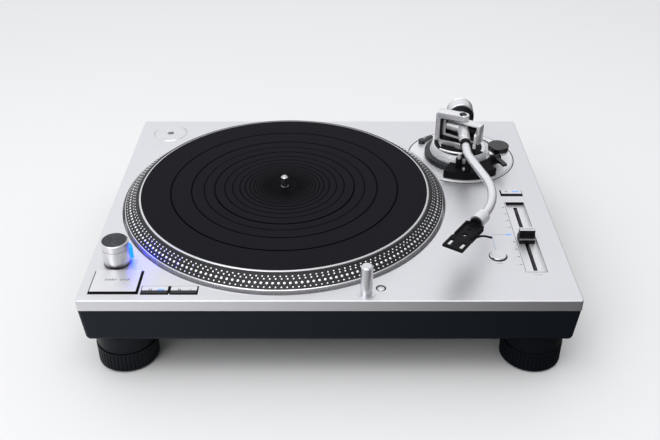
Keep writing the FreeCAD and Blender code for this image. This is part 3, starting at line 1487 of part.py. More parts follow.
def cue_lever_ears():
    z = CABINET_TOP + CUE_LEVER_HEIGHT
    deck_bottom = CABINET_TOP + REST_DECK_TOP - REST_DECK_THICKNESS
    inner = CUE_LEVER_WIDTH / 2 + CUE_EAR_GAP
    ears = []
    for side in (-1, 1):
        start = side * inner
        end = side * (inner + CUE_EAR_WIDTH)
        xs = sorted((start, end))
        round_end = rod(CUE_EAR_RADIUS, Vector(xs[0], 0, z), Vector(xs[1], 0, z))
        leg = box(xs[0], xs[1], -CUE_EAR_RADIUS, CUE_EAR_RADIUS, deck_bottom, z)
        ears.append(fused(round_end, leg))
    pin = rod(CUE_LEVER_PIN, Vector(-inner - CUE_EAR_WIDTH, 0, z), Vector(inner + CUE_EAR_WIDTH, 0, z))
    bridge_half = inner + CUE_EAR_WIDTH
    bridge = box(-bridge_half, bridge_half, -CUE_EAR_RADIUS, CUE_EAR_RADIUS, deck_bottom,
                 z - CUE_EAR_RADIUS - CUE_EAR_GAP)
    return at_cue_lever(fused(ears[0], ears[1], pin, bridge))


def make_cue_lever():
    z = CABINET_TOP + CUE_LEVER_HEIGHT
    half = CUE_LEVER_WIDTH / 2
    barrel = rod(CUE_EAR_RADIUS, Vector(-half, 0, z), Vector(half, 0, z))
    blade = box(-half, half, -CUE_LEVER_LENGTH, 0, z - CUE_LEVER_THICKNESS / 2, z + CUE_LEVER_THICKNESS / 2)
    lever = fused(barrel, blade)
    bore = rod(CUE_LEVER_PIN + PIN_CLEARANCE, Vector(-half - 1, 0, z), Vector(half + 1, 0, z))
    return at_cue_lever(lever.cut(bore))


def make_cue_bar():
    z = AXIS_Z - TUBE_RADIUS - CUE_BAR_DROP - CUE_BAR_RADIUS
    start = polar(CUE_BAR_CIRCLE, CUE_BAR_START, z)
    middle = polar(CUE_BAR_CIRCLE, (CUE_BAR_START + CUE_BAR_END) / 2, z)
    end = polar(CUE_BAR_CIRCLE, CUE_BAR_END, z)
    bar = swept_tube(CUE_BAR_RADIUS, Part.Wire([Part.Arc(start, middle, end).toShape()]))
    foot = polar(CUE_BAR_CIRCLE, CUE_ROD_ANGLE)
    rod_bottom = CABINET_TOP + REST_DECK_TOP + CUE_BAR_DROP
    lift_rod = cylinder(CUE_ROD_RADIUS, rod_bottom, z, foot.x, foot.y)
    return at_pivot(fused(bar, lift_rod))


def make_arm_clamp():
    """Latch beside the saddle, open at rest, that turns down over the tube."""
    middle = rest_side()
    pin_x = middle + TUBE_RADIUS + REST_WALL_GAP + REST_WALL / 2
    z = CABINET_TOP + REST_WALL_TOP + CLAMP_RADIUS + PIN_CLEARANCE
    half = REST_LENGTH / 2
    y0 = -REST_DISTANCE - half
    y1 = -REST_DISTANCE + half
    barrel = rod(CLAMP_RADIUS, Vector(pin_x, y0, z), Vector(pin_x, y1, z))
    arm = box(pin_x - CLAMP_THICKNESS / 2, pin_x + CLAMP_THICKNESS / 2, y0, y1, z, z + CLAMP_ARM)
    return at_pivot(fused(barrel, arm), -REST_ANGLE)


def make_antiskate_dial():
    bottom = CABINET_TOP + SIDE_DIAL_BOTTOM
    top = bottom + SIDE_DIAL_HEIGHT
    dial = cylinder(SIDE_DIAL_RADIUS, bottom, top, SIDE_DIAL_X, SIDE_DIAL_Y)
    dial = chamfered(dial, BUTTON_ROUND, at_height(top))
    bore = cylinder(
        SIDE_POST_RADIUS + SIDE_CLEARANCE,
        bottom - EPSILON,
        bottom + SIDE_DIAL_HEIGHT / 2 + REST_GAP,
        SIDE_DIAL_X,
        SIDE_DIAL_Y,
    )
    return dial.cut(bore)


def make_arm_lock_lever():
    plate_top = CABINET_TOP + BASE_PLATE_THICKNESS
    bottom = plate_top + DIAL_CLEARANCE
    hub = cylinder(LOCK_RADIUS, bottom, bottom + LOCK_HEIGHT)
    pin = cylinder(LOCK_PIN, CABINET_TOP + PIN_CLEARANCE, bottom)
    half = LOCK_WIDTH / 2
    blade = box(0, LOCK_LENGTH, -half, half, bottom, bottom + LOCK_HEIGHT * 0.6)
    lever = fused(hub, pin, blade)
    lever.rotate(ORIGIN, UP, LOCK_ANGLE)
    lever.translate(Vector(LOCK_X, LOCK_Y, 0))
    return lever


def make_parts():
    """Every sub-part by its name."""
    parts = {
        "top_panel": make_top_panel(),
        "base_shell": make_base_shell(),
        "bottom_cover": make_bottom_cover(),
        "cover_screws": make_cover_screws(),
        "main_board": make_main_board(),
        "power_supply": make_power_supply(),
        "mains_inlet": make_mains_inlet(),
        "phono_terminals": make_phono_terminals(),
        "hinge_sockets": make_hinge_sockets(),
        "foot_cups": make_foot_cups(),
        "spindle_bearing": make_spindle_bearing(),
        "motor_stator": make_motor_stator(),
        "platter": make_platter(),
        "rubber_mat": make_rubber_mat(),
        "rotor_magnet": make_rotor_magnet(),
        "spindle": make_spindle(),
        "strobe_housing": make_strobe_housing(),
        "strobe_window": make_strobe_window(),
        "power_knob": make_power_knob(),
        "button_tray": make_button_tray(),
        "start_stop_button": make_flat_button("start_stop_button", START_RISE),
        "speed_button_33": make_flat_button("speed_button_33", SPEED_RISE),
        "speed_button_45": make_flat_button("speed_button_45", SPEED_RISE),
        "range_button": make_flat_button("range_button", RANGE_RISE),
        "lamp_sleeve": make_lamp_sleeve(),
        "stylus_lamp": make_stylus_lamp(),
        "lamp_button": make_round_button(LAMP_BUTTON_X, LAMP_BUTTON_Y, LAMP_BUTTON_RADIUS, -LAMP_BUTTON_DEPTH),
        "reset_button": make_round_button(RESET_X, RESET_Y, RESET_RADIUS, RESET_RISE),
        "pitch_bezel": make_pitch_bezel(),
        "pitch_fader_body": make_pitch_fader_body(),
        "pitch_knob": make_pitch_knob(),
        "ep_adapter": make_ep_adapter(),
        "arm_base_plate": make_arm_base_plate(),
        "height_dial": make_height_dial(),
        "arm_platform": make_arm_platform(),
        "arm_rest": make_arm_rest(),
        "arm_clamp": make_arm_clamp(),
        "arm_lock_lever": make_arm_lock_lever(),
        "antiskate_dial": make_antiskate_dial(),
        "cue_lever": make_cue_lever(),
        "cue_bar": make_cue_bar(),
        "gimbal_yoke": make_gimbal_yoke(),
        "gimbal_frame": make_gimbal_frame(),
        "arm_hub": make_arm_hub(),
        "arm_tube": make_arm_tube(),
        "rear_shaft": make_rear_shaft(),
        "weight_thread": make_weight_thread(),
        "counterweight": make_counterweight(),
        "force_ring": make_force_ring(),
        "headshell_nut": make_headshell_nut(),
        "headshell": make_headshell(),
        "finger_lift": make_finger_lift(),
    }
    for number, (x, y) in enumerate(foot_places(), start=1):
        parts[f"foot_stud_{number}"] = make_foot_stud(x, y)
        parts[f"foot_ring_{number}"] = make_foot_ring(x, y)
    return parts


os.makedirs("parts", exist_ok=True)
for name, shape in make_parts().items():
    shape.exportStep(f"parts/{name}.step")
    print(f"{name}: {len(shape.Solids)} solid(s), valid {shape.isValid()}, volume {shape.Volume:.1f}")
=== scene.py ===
# %% [markdown]
# # A direct-drive turntable, dressed for a studio picture
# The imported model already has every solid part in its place, in metres. This lesson keeps those
# solids, gives each a finish made of shader nodes, and adds what is too fine for solid modelling:
# the dots on the platter, printed marks, screws and lamps. Loading comes first, because every later
# step measures the model instead of repeating its sizes.

# %% Load the model
import math

import bmesh
import bpy
from mathutils import Matrix, Vector


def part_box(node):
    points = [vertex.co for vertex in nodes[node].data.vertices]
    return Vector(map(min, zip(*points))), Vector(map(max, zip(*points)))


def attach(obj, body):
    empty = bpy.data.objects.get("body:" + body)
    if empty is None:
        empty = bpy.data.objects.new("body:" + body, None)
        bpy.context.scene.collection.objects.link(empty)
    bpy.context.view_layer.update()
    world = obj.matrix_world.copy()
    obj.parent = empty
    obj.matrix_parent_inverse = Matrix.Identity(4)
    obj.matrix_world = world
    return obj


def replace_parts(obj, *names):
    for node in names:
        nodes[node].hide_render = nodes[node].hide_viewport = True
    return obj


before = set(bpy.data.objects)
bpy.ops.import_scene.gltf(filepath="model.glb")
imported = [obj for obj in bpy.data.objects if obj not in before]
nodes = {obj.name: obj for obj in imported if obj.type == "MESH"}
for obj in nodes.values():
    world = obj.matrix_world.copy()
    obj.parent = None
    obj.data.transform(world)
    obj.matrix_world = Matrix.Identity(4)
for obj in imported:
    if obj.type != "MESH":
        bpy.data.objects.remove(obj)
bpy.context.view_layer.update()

MM = 0.001

# %% [markdown]
# ## Where the camera stands
# The picture looks down on the front of the cabinet from a little over half a metre. A camera on a
# measured spot, tilted by a measured angle, beats one that is aimed by eye.

# %% Camera
eye = bpy.data.cameras.new("camera")
eye.sensor_width = 36.0
eye.lens = 46.9
camera = bpy.data.objects.new("camera", eye)
camera.location = (0.00057, -0.7746, 0.5702)
camera.rotation_euler = (math.radians(90 - 33.3), 0, 0)
bpy.context.scene.collection.objects.link(camera)
bpy.context.scene.camera = camera
bpy.context.scene.view_settings.view_transform = "Standard"

# %% [markdown]
# ## Arithmetic on sockets
# A finish is a small sum: distance from a centre, a wave of it, a mask where it passes a height.
# Wired by hand that is dozens of Math nodes. Wrapping a socket in a class whose operators add the
# nodes lets each finish be written as the formula that it is.


# %% Socket arithmetic
class Signal:
    """One output socket, with arithmetic that adds Math nodes behind it."""

    def __init__(self, finish, socket):
        self.finish = finish
        self.socket = socket

    def maths(self, operation, *values):
        return self.finish.node("Math", {"operation": operation}, dict(enumerate(values)))

    def __add__(self, other):
        return self.maths("ADD", self, other)

    __radd__ = __add__

    def __sub__(self, other):
        return self.maths("SUBTRACT", self, other)

    def __rsub__(self, other):
        return self.maths("SUBTRACT", other, self)

    def __mul__(self, other):
        return self.maths("MULTIPLY", self, other)

    __rmul__ = __mul__

    def __abs__(self):
        return self.maths("ABSOLUTE", self)

    def root(self):
        return self.maths("SQRT", self)

    def sine(self):
        return self.maths("SINE", self)

    def waves(self, pitch):
        """A sine that repeats after that many metres."""
        return (self * (math.tau / pitch)).sine()

    def over(self, edge, soft=0.00005):
        """1 where the signal is above the edge and 0 below it, with a narrow blend."""
        ends = {"Value": self, "From Min": edge - soft, "From Max": edge + soft}
        return self.finish.node("MapRange", {"interpolation_type": "SMOOTHSTEP"}, ends)

    def near(self, value, reach, soft=0.00005):
        """1 within reach of the value."""
        return 1 - abs(self - value).over(reach, soft)


class Finish:
    """A material with one Principled surface, and one method that adds any other node to it."""

    def __init__(self, name, colour, metallic=0.0, roughness=0.5, fixed=None):
        self.material = bpy.data.materials.new(name)
        self.material.use_nodes = True
        self.tree = self.material.node_tree
        self.surface = self.tree.nodes["Principled BSDF"]
        self.put("Base Color", colour)
        self.put("Metallic", metallic)
        self.put("Roughness", roughness)
        for socket, value in (fixed or {}).items():
            self.put(socket, value)

    def feed(self, socket, value):
        if isinstance(value, Signal):
            self.tree.links.new(value.socket, socket)
        elif socket.type == "RGBA" and len(value) == 3:
            socket.default_value = (*value, 1.0)
        else:
            socket.default_value = value

    def put(self, name, value):
        self.feed(self.surface.inputs[name], value)

    def node(self, kind, settings=None, inputs=None, output=0):
        made = self.tree.nodes.new("ShaderNode" + kind)
        for name, value in (settings or {}).items():
            setattr(made, name, value)
        for name, value in (inputs or {}).items():
            self.feed(made.inputs[name], value)
        return Signal(self, made.outputs[output])

    def place(self):
        return self.node("TexCoord", output="Object")

    def axes(self, centre=(0, 0, 0)):
        """The distances in metres from a point, along X, Y and Z."""
        moved = self.node("VectorMath", {"operation": "SUBTRACT"}, {0: self.place(), 1: centre})
        x = self.node("SeparateXYZ", {}, {0: moved})
        outputs = x.socket.node.outputs
        return [Signal(self, outputs[axis]) for axis in "XYZ"]

    def radius(self, centre):
        """The distance in metres from an upright axis."""
        x, y, z = self.axes(centre)
        return (x * x + y * y).root()

    def noise(self, size, detail=2.0, stretch=(1, 1, 1)):
        """Smooth random values about 0.5, with features of about that size in metres."""
        scaled = self.node("Mapping", {}, {"Vector": self.place(), "Scale": stretch})
        return self.node("TexNoise", {}, {"Vector": scaled, "Scale": 1 / size, "Detail": detail})

    def mix(self, factor, first, second):
        """A colour that goes from the first to the second as the factor goes from 0 to 1."""
        return self.node("Mix", {"data_type": "RGBA"}, {0: factor, 6: first, 7: second}, output=2)

    def bump(self, height, depth, strength=0.5):
        """Relief from a height of 0 to 1, of that depth in metres."""
        self.put("Normal", self.node("Bump", {}, {"Strength": strength, "Distance": depth, "Height": height}))


def shade(colour, factor):
    return tuple(channel * factor for channel in colour)


# %% [markdown]
# ## Plain finishes
# The top panel, the knob and most of the tonearm are aluminium with a fine blasted and anodised
# skin: pale, nearly even, with a soft gloss. A flat grey would look like paper. A speckle of some
# tenths of a millimetre in roughness and height, under a faint cloud of colour, gives it a grain.
# Turned parts have hair-fine rings around their own axis instead. The dark base is painted, and the
# feet, mat and small mouldings are rubber and plastic, which differ in gloss and in grain. Their
# specular level is low: at the usual value a pale studio would wash every black to grey.


# %% Plain finishes
def blasted_metal(name, colour, roughness=0.38, metallic=0.85, grain=0.0003):
    finish = Finish(name, colour, metallic)
    speck = finish.noise(grain, 3.0)
    finish.put("Base Color", finish.mix(finish.noise(0.08), shade(colour, 0.95), colour))
    finish.put("Roughness", speck * 0.12 + (roughness - 0.06))
    finish.bump(speck, 0.00003, 0.2)
    return finish


TURNING_PITCH = 0.0005


def turned_metal(name, colour, centre, roughness):
    finish = Finish(name, colour, 1.0)
    rings = finish.radius(centre).waves(TURNING_PITCH)
    finish.put("Base Color", finish.mix(finish.noise(0.01), shade(colour, 0.9), colour))
    finish.put("Roughness", finish.noise(0.002) * 0.1 + (roughness - 0.05))
    finish.bump(rings, 0.00002, 0.25)
    return finish


DULL = {"Specular IOR Level": 0.12}


def lacquer(name, colour, roughness=0.45):
    finish = Finish(name, colour, fixed=DULL)
    speck = finish.noise(0.0006, 4.0)
    finish.put("Base Color", finish.mix(finish.noise(0.05), shade(colour, 0.85), shade(colour, 1.1)))
    finish.put("Roughness", speck * 0.15 + (roughness - 0.07))
    finish.bump(speck, 0.00005, 0.35)
    return finish


def moulded(name, colour, roughness=0.5, grain=0.0004):
    finish = Finish(name, colour, fixed=DULL)
    speck = finish.noise(grain, 2.0)
    finish.put("Base Color", finish.mix(finish.noise(0.02), shade(colour, 0.8), shade(colour, 1.15)))
    finish.put("Roughness", speck * 0.2 + (roughness - 0.1))
    finish.bump(speck, 0.00004, 0.3)
    return finish


def glowing(name, colour, strength):
    finish = Finish(name, shade(colour, 0.5), 0.0, 0.3, {"Emission Strength": strength})
    finish.put("Emission Color", finish.mix(finish.noise(0.003), colour, shade(colour, 0.8)))
    return finish


def printed(name, colour):
    finish = Finish(name, colour, 0.0, 0.5)
    finish.put("Base Color", finish.mix(finish.noise(0.0005), shade(colour, 0.8), colour))
    return finish


def dress(finish, *names):
    for name in names:
        nodes[name].data.materials.clear()
        nodes[name].data.materials.append(finish.material)


SILVER = (0.83, 0.83, 0.845)
POLISHED = (0.78, 0.78, 0.80)
BUTTON_SILVER = (0.80, 0.80, 0.82)
BLACK = (0.004, 0.004, 0.005)
STEEL = (0.62, 0.62, 0.65)
SOOT = (0.009, 0.009, 0.011)
SLATE = (0.012, 0.017, 0.025)

panel_skin = blasted_metal("panel_aluminium", (0.775, 0.775, 0.80), 0.42)
arm_skin = blasted_metal("arm_aluminium", (0.84, 0.84, 0.86), 0.34, 0.55)
pearl_skin = blasted_metal("pearl_tube", (0.82, 0.82, 0.85), 0.28, 0.75, 0.0002)
dark_metal = blasted_metal("dark_anodised", (0.045, 0.047, 0.053), 0.32, 0.8)
base_paint = lacquer("base_paint", SLATE, 0.42)
lamp_metal = blasted_metal("lamp_metal", (0.76, 0.76, 0.79), 0.28, 1.0)
foot_paint = lacquer("foot_paint", (0.008, 0.010, 0.014), 0.35)
plastic = moulded("black_plastic", SOOT, 0.4)
black_trim = moulded("black_trim", BLACK, 0.6)
screw_steel = blasted_metal("screw_steel", STEEL, 0.3, 1.0)
board_green = lacquer("board_green", (0.02, 0.09, 0.045), 0.4)
copper = blasted_metal("coil_copper", (0.72, 0.36, 0.2), 0.35, 1.0)

dress(panel_skin, "top_panel")
dress(lamp_metal, "stylus_lamp", "lamp_sleeve")
dress(arm_skin, "gimbal_yoke", "gimbal_frame", "arm_hub", "arm_platform", "arm_base_plate", "arm_clamp")
dress(arm_skin, "cue_bar", "headshell_nut", "rear_shaft", "weight_thread")
dress(pearl_skin, "arm_tube", "counterweight")
dress(dark_metal, "height_dial", "force_ring", "cue_lever", "arm_lock_lever")
dress(base_paint, "base_shell", "bottom_cover")
dress(foot_paint, "foot_cups", *[f"foot_ring_{number}" for number in (1, 2, 3, 4)])
dress(black_trim, "arm_rest", "pitch_fader_body", "headshell", "finger_lift")
dress(plastic, "button_tray", "lamp_button", "mains_inlet", "phono_terminals", "hinge_sockets")
dress(screw_steel, "cover_screws", "spindle", "spindle_bearing")
dress(screw_steel, *[f"foot_stud_{number}" for number in (1, 2, 3, 4)])
dress(board_green, "main_board")
dress(screw_steel, "power_supply", "rotor_magnet")
dress(copper, "motor_stator")
print(len(bpy.data.materials), "finishes so far")

# %% [markdown]
# ## Finishes that follow a part's own shape
# The platter is one casting with three finishes: a silver lip round the mat, a black bevel that
# carries the dots, and a silver edge below it. Cutting it into three objects would leave seams, so
# one material picks its colour by height above the panel. The knob, the adapter and the mat are
# likewise finished by their distance from their own middle. The knob's dark top is a painted
# reflection, and the dark foot of the strobe housing and the black sides of the buttons are painted shade.

# %% Platter, mat, knob and adapter
panel_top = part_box("top_panel")[1].z


def middle(name):
    low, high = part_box(name)
    return (low + high) / 2


BAND_BOTTOM, BAND_INNER = 0.0034, 0.1508
hub = middle("platter")
platter_skin = Finish("platter_bands", SILVER)
height = platter_skin.axes(hub)[2] + (hub.z - panel_top)
from_hub = platter_skin.radius(hub)
band = height.over(BAND_BOTTOM) * from_hub.over(BAND_INNER)
turning = from_hub.waves(0.0004)
platter_skin.put("Base Color", platter_skin.mix(band, (0.86, 0.86, 0.88), (0.010, 0.010, 0.012)))
platter_skin.put("Metallic", 0.7 - 0.4 * band)
platter_skin.put("Roughness", 0.22 + 0.2 * band + 0.08 * platter_skin.noise(0.002))
platter_skin.bump(turning, 0.00002, 0.2)
dress(platter_skin, "platter")

# The grooves between the mat's bands of ribs, as radii in mm.
WIDE_RING = 118.2
RINGS = (97, 84, 73, 62.5, 54.5, 47, 41.3, 36.5, 32.5, 29, 25.8, 23, 20.5, 18, 16, 14)
mat_skin = Finish("mat_rubber", (0.02, 0.02, 0.024), fixed={"Specular IOR Level": 0.03})
out = mat_skin.radius(hub)
fine = out.waves(0.00095) * 0.5 + 0.5
lines = out.near(WIDE_RING * MM, 0.0008, 0.0004)
for ring in RINGS:
    lines = lines + out.near(ring * MM, 0.0007, 0.0004)
middle_shade = out.over(0.018, 0.016)
# Rib crests are painted a little lighter than their troughs and the grooves near black: painted shade.
ribs = mat_skin.mix(fine, (0.006, 0.006, 0.009), (0.013, 0.013, 0.017))
ribs = mat_skin.mix(middle_shade, (0.001, 0.001, 0.0015), ribs)
mat_skin.put("Base Color", mat_skin.mix(lines, ribs, (0.0003, 0.0003, 0.0006)))
mat_skin.put("Roughness", 0.55 + 0.15 * mat_skin.noise(0.0015))
mat_skin.bump(0.35 * fine - lines, 0.0003, 0.6)
dress(mat_skin, "rubber_mat")

knob_middle = middle("power_knob")
knob_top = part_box("power_knob")[1].z
knob_skin = Finish("knob_metal", SILVER, 1.0)
knob_out = knob_skin.radius(knob_middle)
knob_height = knob_skin.axes(knob_middle)[2] + knob_middle.z
# The top face inside its outer ring is painted near black: a painted reflection of dark surroundings.
face = knob_height.over(knob_top - 0.0001) * (1 - knob_out.over(0.0117))
knob_skin.put("Base Color", knob_skin.mix(face, POLISHED, (0.055, 0.058, 0.068)))
knob_skin.put("Roughness", 0.30 + 0.02 * knob_skin.noise(0.004))
knob_skin.bump(knob_out.waves(TURNING_PITCH) * face, 0.00006, 0.8)
dress(knob_skin, "power_knob")

housing_skin = Finish("housing_metal", SILVER, 1.0)
# Below about 3.5 mm above the panel the housing is painted dark: a painted contact shadow.
painted_foot_shadow = housing_skin.axes((0, 0, panel_top))[2].over(0.0035, 0.0030)
housing_skin.put("Base Color", housing_skin.mix(painted_foot_shadow, (0.03, 0.03, 0.035), POLISHED))
housing_skin.put("Roughness", 0.34 + 0.02 * housing_skin.noise(0.004))
dress(housing_skin, "strobe_housing")

fader_middle = middle("pitch_knob")
fader_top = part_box("pitch_knob")[1].z
fader_skin = Finish("fader_knob_bands_and_shade", SOOT, 0.0, 0.35, DULL)
across, along, up = fader_skin.axes((fader_middle.x, fader_middle.y, fader_top))
# The ridge and the lips are silver and the hollow between them black; the black faces below the lips are
# painted shade.
ridge = up.over(-0.0003) * (1 - along.near(0, 0.0004))
lip = abs(along).over(0.00485) * up.near(-0.0086, 0.0003)
silver = ridge + lip
fader_skin.put("Base Color", fader_skin.mix(silver, (0.007, 0.007, 0.009), BUTTON_SILVER))
fader_skin.put("Metallic", silver)
fader_skin.put("Roughness", 0.32 + 0.1 * fader_skin.noise(0.0006))
dress(fader_skin, "pitch_knob")

dial_skin = Finish("side_dial_bands", SOOT, 0.0, 0.18)
below_cap = 1 - dial_skin.axes(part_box("antiskate_dial")[1])[2].over(-0.0055)
dial_skin.put("Base Color", dial_skin.mix(below_cap, (0.006, 0.006, 0.007), POLISHED))
dial_skin.put("Metallic", below_cap)
dial_skin.put("Roughness", 0.2 + 0.08 * dial_skin.noise(0.001))
dress(dial_skin, "antiskate_dial")

dress(turned_metal("adapter_metal", (0.82, 0.82, 0.84), middle("ep_adapter"), 0.22), "ep_adapter")
dress(turned_metal("reset_metal", BUTTON_SILVER, middle("reset_button"), 0.25), "reset_button")
strobe_light = glowing("strobe_blue", (0.0, 0.012, 1.0), 40.0)
dress(strobe_light, "strobe_window")

# Only the top of a flat button is silver; its sides are painted black as painted shade. The front half of a
# speed button's top is painted dark as painted shade as well, and so are the sides and slot of the fader
# bezel.
for button, painted_shade_front in (("start_stop_button", 0), ("speed_button_33", 4.2), ("speed_button_45", 4.2),
                           ("range_button", 0), ("pitch_bezel", 0)):
    front_corner, top_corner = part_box(button)
    button_skin = Finish(button + "_skin", BUTTON_SILVER, 0.0, 0.42)
    behind_front = button_skin.axes(front_corner)[1].over(painted_shade_front * MM - 0.0001)
    cap = button_skin.axes(top_corner)[2].over(-0.0002) * behind_front
    button_skin.put("Base Color", button_skin.mix(cap, BLACK, BUTTON_SILVER))
    button_skin.put("Metallic", 0.85 * cap)
    button_skin.put("Roughness", 0.38 + 0.08 * button_skin.noise(0.0004))
    dress(button_skin, button)

# %% [markdown]
# ## Making pieces
# Every added piece goes through the same three steps: a bmesh is shaped by operators, it becomes a
# mesh whose edges are sharp where its faces meet steeply, and it rides on the body that carries it.


# %% Piece maker
def add_piece(name, shape, body, finish, sharp=35):
    mesh = bpy.data.meshes.new(name)
    shape.to_mesh(mesh)
    shape.free()
    mesh.materials.append(finish.material)
    mesh.shade_smooth()
    mesh.set_sharp_from_angle(angle=math.radians(sharp))
    made = bpy.data.objects.new(name, mesh)
    bpy.context.scene.collection.objects.link(made)
    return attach(made, body)


def turned_to(angle, axis="Z"):
    return Matrix.Rotation(math.radians(angle), 4, axis)


def made_since(before, shape):
    """The vertices that aren't in that earlier set, and the faces that touch them."""
    made = [vertex for vertex in shape.verts if vertex not in before]
    return made, list(dict.fromkeys(face for vertex in made for face in vertex.link_faces))


def turned(shape, profile, place=None, steps=48, sweep=360.0):
    """A closed profile of (radius, height) points in mm, spun about its own Z axis, then placed."""
    before = set(shape.verts)
    points = [shape.verts.new((radius * MM, 0, up * MM)) for radius, up in profile]
    loop = [shape.edges.new((points[index - 1], points[index])) for index in range(len(points))]
    whole = sweep == 360.0
    start = [] if whole else [shape.faces.new(points)]
    bmesh.ops.spin(shape, geom=loop + start, cent=(0, 0, 0), axis=(0, 0, 1), dvec=(0, 0, 0),
                   angle=math.radians(sweep), steps=steps, use_merge=whole)
    made, faces = made_since(before, shape)
    bmesh.ops.transform(shape, matrix=place or Matrix(), verts=made)
    bmesh.ops.recalc_face_normals(shape, faces=faces)


# %% [markdown]
# ## Flat pieces with holes
# The yoke, the bearing frame and the headshell are plates, two of them with openings. An outline and
# its holes are drawn as loops of edges, one fill closes the area between them, and an extrusion gives
# it its thickness.


# %% Plates with holes
STEEP = 1.0  # Radians. Where two faces meet at more than this, the edge is eased.


def cut_plate(shape, loops, bottom, top, place, edge):
    """A plate between outlines of (x, y) points in mm, the first one outside, with eased edges."""
    before = set(shape.verts)
    edges = []
    for loop in loops:
        points = [shape.verts.new((x * MM, y * MM, bottom * MM)) for x, y in loop]
        edges += [shape.edges.new((points[index - 1], points[index])) for index in range(len(points))]
    bmesh.ops.triangle_fill(shape, use_beauty=True, edges=edges)
    made, faces = made_since(before, shape)
    fill_edges = list(dict.fromkeys(edge_line for face in faces for edge_line in face.edges))
    bmesh.ops.dissolve_limit(shape, angle_limit=0.01, verts=made, edges=fill_edges)
    raised = bmesh.ops.extrude_face_region(shape, geom=made_since(before, shape)[1])["geom"]
    up = [item for item in raised if isinstance(item, bmesh.types.BMVert)]
    bmesh.ops.translate(shape, vec=(0, 0, (top - bottom) * MM), verts=up)
    faces = made_since(before, shape)[1]
    bmesh.ops.recalc_face_normals(shape, faces=faces)
    if edge:
        around = dict.fromkeys(edge_line for face in faces for edge_line in face.edges)
        steep = [edge_line for edge_line in around if edge_line.calc_face_angle(0) > STEEP]
        bmesh.ops.bevel(shape, geom=steep, offset=edge * MM, affect="EDGES", segments=2, profile=0.5,
                        material=-1)
    bmesh.ops.transform(shape, matrix=place, verts=made_since(before, shape)[0])


def rectangle(x0, x1, y0, y1):
    return [(x0, y0), (x1, y0), (x1, y1), (x0, y1)]


def round_hole(x, y, radius, count=16):
    turns = [math.tau * step / count for step in range(count)]
    return [(x + radius * math.cos(turn), y + radius * math.sin(turn)) for turn in turns]


# %% [markdown]
# ## The tonearm's bearing
# A C-shaped yoke stands on a silver drum and holds an upright frame between two pins. These pieces
# bring the soft corners, the frame's real depth, the threaded drum, the sleeve and collar on the tube
# and the short weight. Thin black sheets inside the yoke and the frame are painted shadow for the
# deep shade there. Each piece is measured from the swing axis.

# %% Bearing pieces
pivot = Vector((0.1495, 0.087, panel_top))
ARM_UP = 35.5
YOKE_TURN, HEAD_TURN, TUBE_TURN = -24.0, -34.2, -3.0
THREAD_PITCH = 0.0013


def at_pivot(angle=0.0, up=0.0):
    return Matrix.Translation(pivot + Vector((0, 0, up * MM))) @ turned_to(angle)


def forward(angle):
    """Turns a spun shape's own Z axis into the direction straight ahead of the pivot."""
    return at_pivot(angle, ARM_UP) @ turned_to(90, "X")


drum = bmesh.new()
drum_side = [(26, 13.5), (34.9, 8.0), (34.6, 11.5), (33.0, 16.6), (32.2, 17.4), (26, 17.4)]
turned(drum, drum_side, at_pivot(125), 60, 190.0)
drum_skin = Finish("drum_thread", (0.74, 0.74, 0.77), 0.6)
ridges = drum_skin.axes(pivot)[2].waves(THREAD_PITCH)
drum_skin.put("Roughness", 0.34 + 0.1 * drum_skin.noise(0.001))
drum_skin.bump(ridges, 0.00025, 0.7)
add_piece("deck_drum", drum, "arm_platform_body", drum_skin)
groove = bmesh.new()
turned(groove, [(59.0, -0.3), (60.1, -0.3), (60.1, 0.06), (59.0, 0.06)], at_pivot(240.2), 96, 287.0)
add_piece("deck_groove", groove, "cabinet", black_trim)
drum_ring = bmesh.new()
turned(drum_ring, [(26.2, 17.2), (30.8, 17.2), (30.6, 18.1), (26.2, 18.1)], at_pivot(126), 60, 188.0)
turned(drum_ring, [(10.5, 14), (23, 14), (23, 14.4), (10.5, 14.4)], at_pivot(), 48)
add_piece("deck_ring", drum_ring, "arm_platform_body", black_trim)

rest_block = bmesh.new()
block_spot = Matrix.Translation((0.1476, 0.0386, panel_top + 0.0113))
bmesh.ops.create_cube(rest_block, size=1, matrix=block_spot @ Matrix.Diagonal((0.0055, 0.0045, 0.0018, 1)))
bmesh.ops.bevel(rest_block, geom=list(rest_block.edges), offset=0.0003, affect="EDGES", segments=2,
                profile=0.5)
add_piece("rest_block", rest_block, "arm_platform_body", arm_skin)

yoke = bmesh.new()
side_on = at_pivot(YOKE_TURN) @ turned_to(90, "X")
bracket = [(0, 53.2), (-27.6, 53.2), (-29.4, 52.5), (-30.4, 50.8), (-30.4, 14), (0, 14), (0, 20), (-23.4, 20),
           (-24.9, 21.5), (-24.9, 45), (-23.4, 46.5), (0, 46.5)]
cut_plate(yoke, [bracket], -5.75, 5.75, side_on, 0.5)
turned(yoke, [(0, 46.5), (5.3, 46.5), (5.75, 46.9), (5.75, 52.8), (5.3, 53.2), (0, 53.2)], at_pivot(), 32)
turned(yoke, [(0, 14), (8.5, 14), (8.5, 19.6), (8.1, 20), (0, 20)], at_pivot(), 32)
turned(yoke, [(0, 20), (2, 20), (2, 27), (0, 27)], at_pivot(), 16)
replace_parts(add_piece("yoke_bracket", yoke, "arm_platform_body", arm_skin), "gimbal_yoke")
# A thin black sheet inside the yoke's opening is painted shadow.
shadow_sheet = bmesh.new()
inner = [(0, 46.6), (-23.5, 46.6), (-25, 45), (-25, 21.5), (-23.5, 19.9), (0, 19.9), (0, 20.4), (-23.2, 20.4),
         (-24.4, 21.7), (-24.4, 44.7), (-23.2, 46.0), (0, 46.0)]
cut_plate(shadow_sheet, [inner], -5.6, 5.6, side_on, 0)
add_piece("yoke_shadow_sheet", shadow_sheet, "arm_platform_body", black_trim)
screw = bmesh.new()
screw_side = [(0, 53.1), (3.1, 53.1), (3.1, 53.7), (2.7, 54), (1.2, 54), (0.9, 53.4), (0, 53.4)]
turned(screw, screw_side, at_pivot(), 24)
add_piece("pivot_screw", screw, "arm_platform_body", dark_metal)

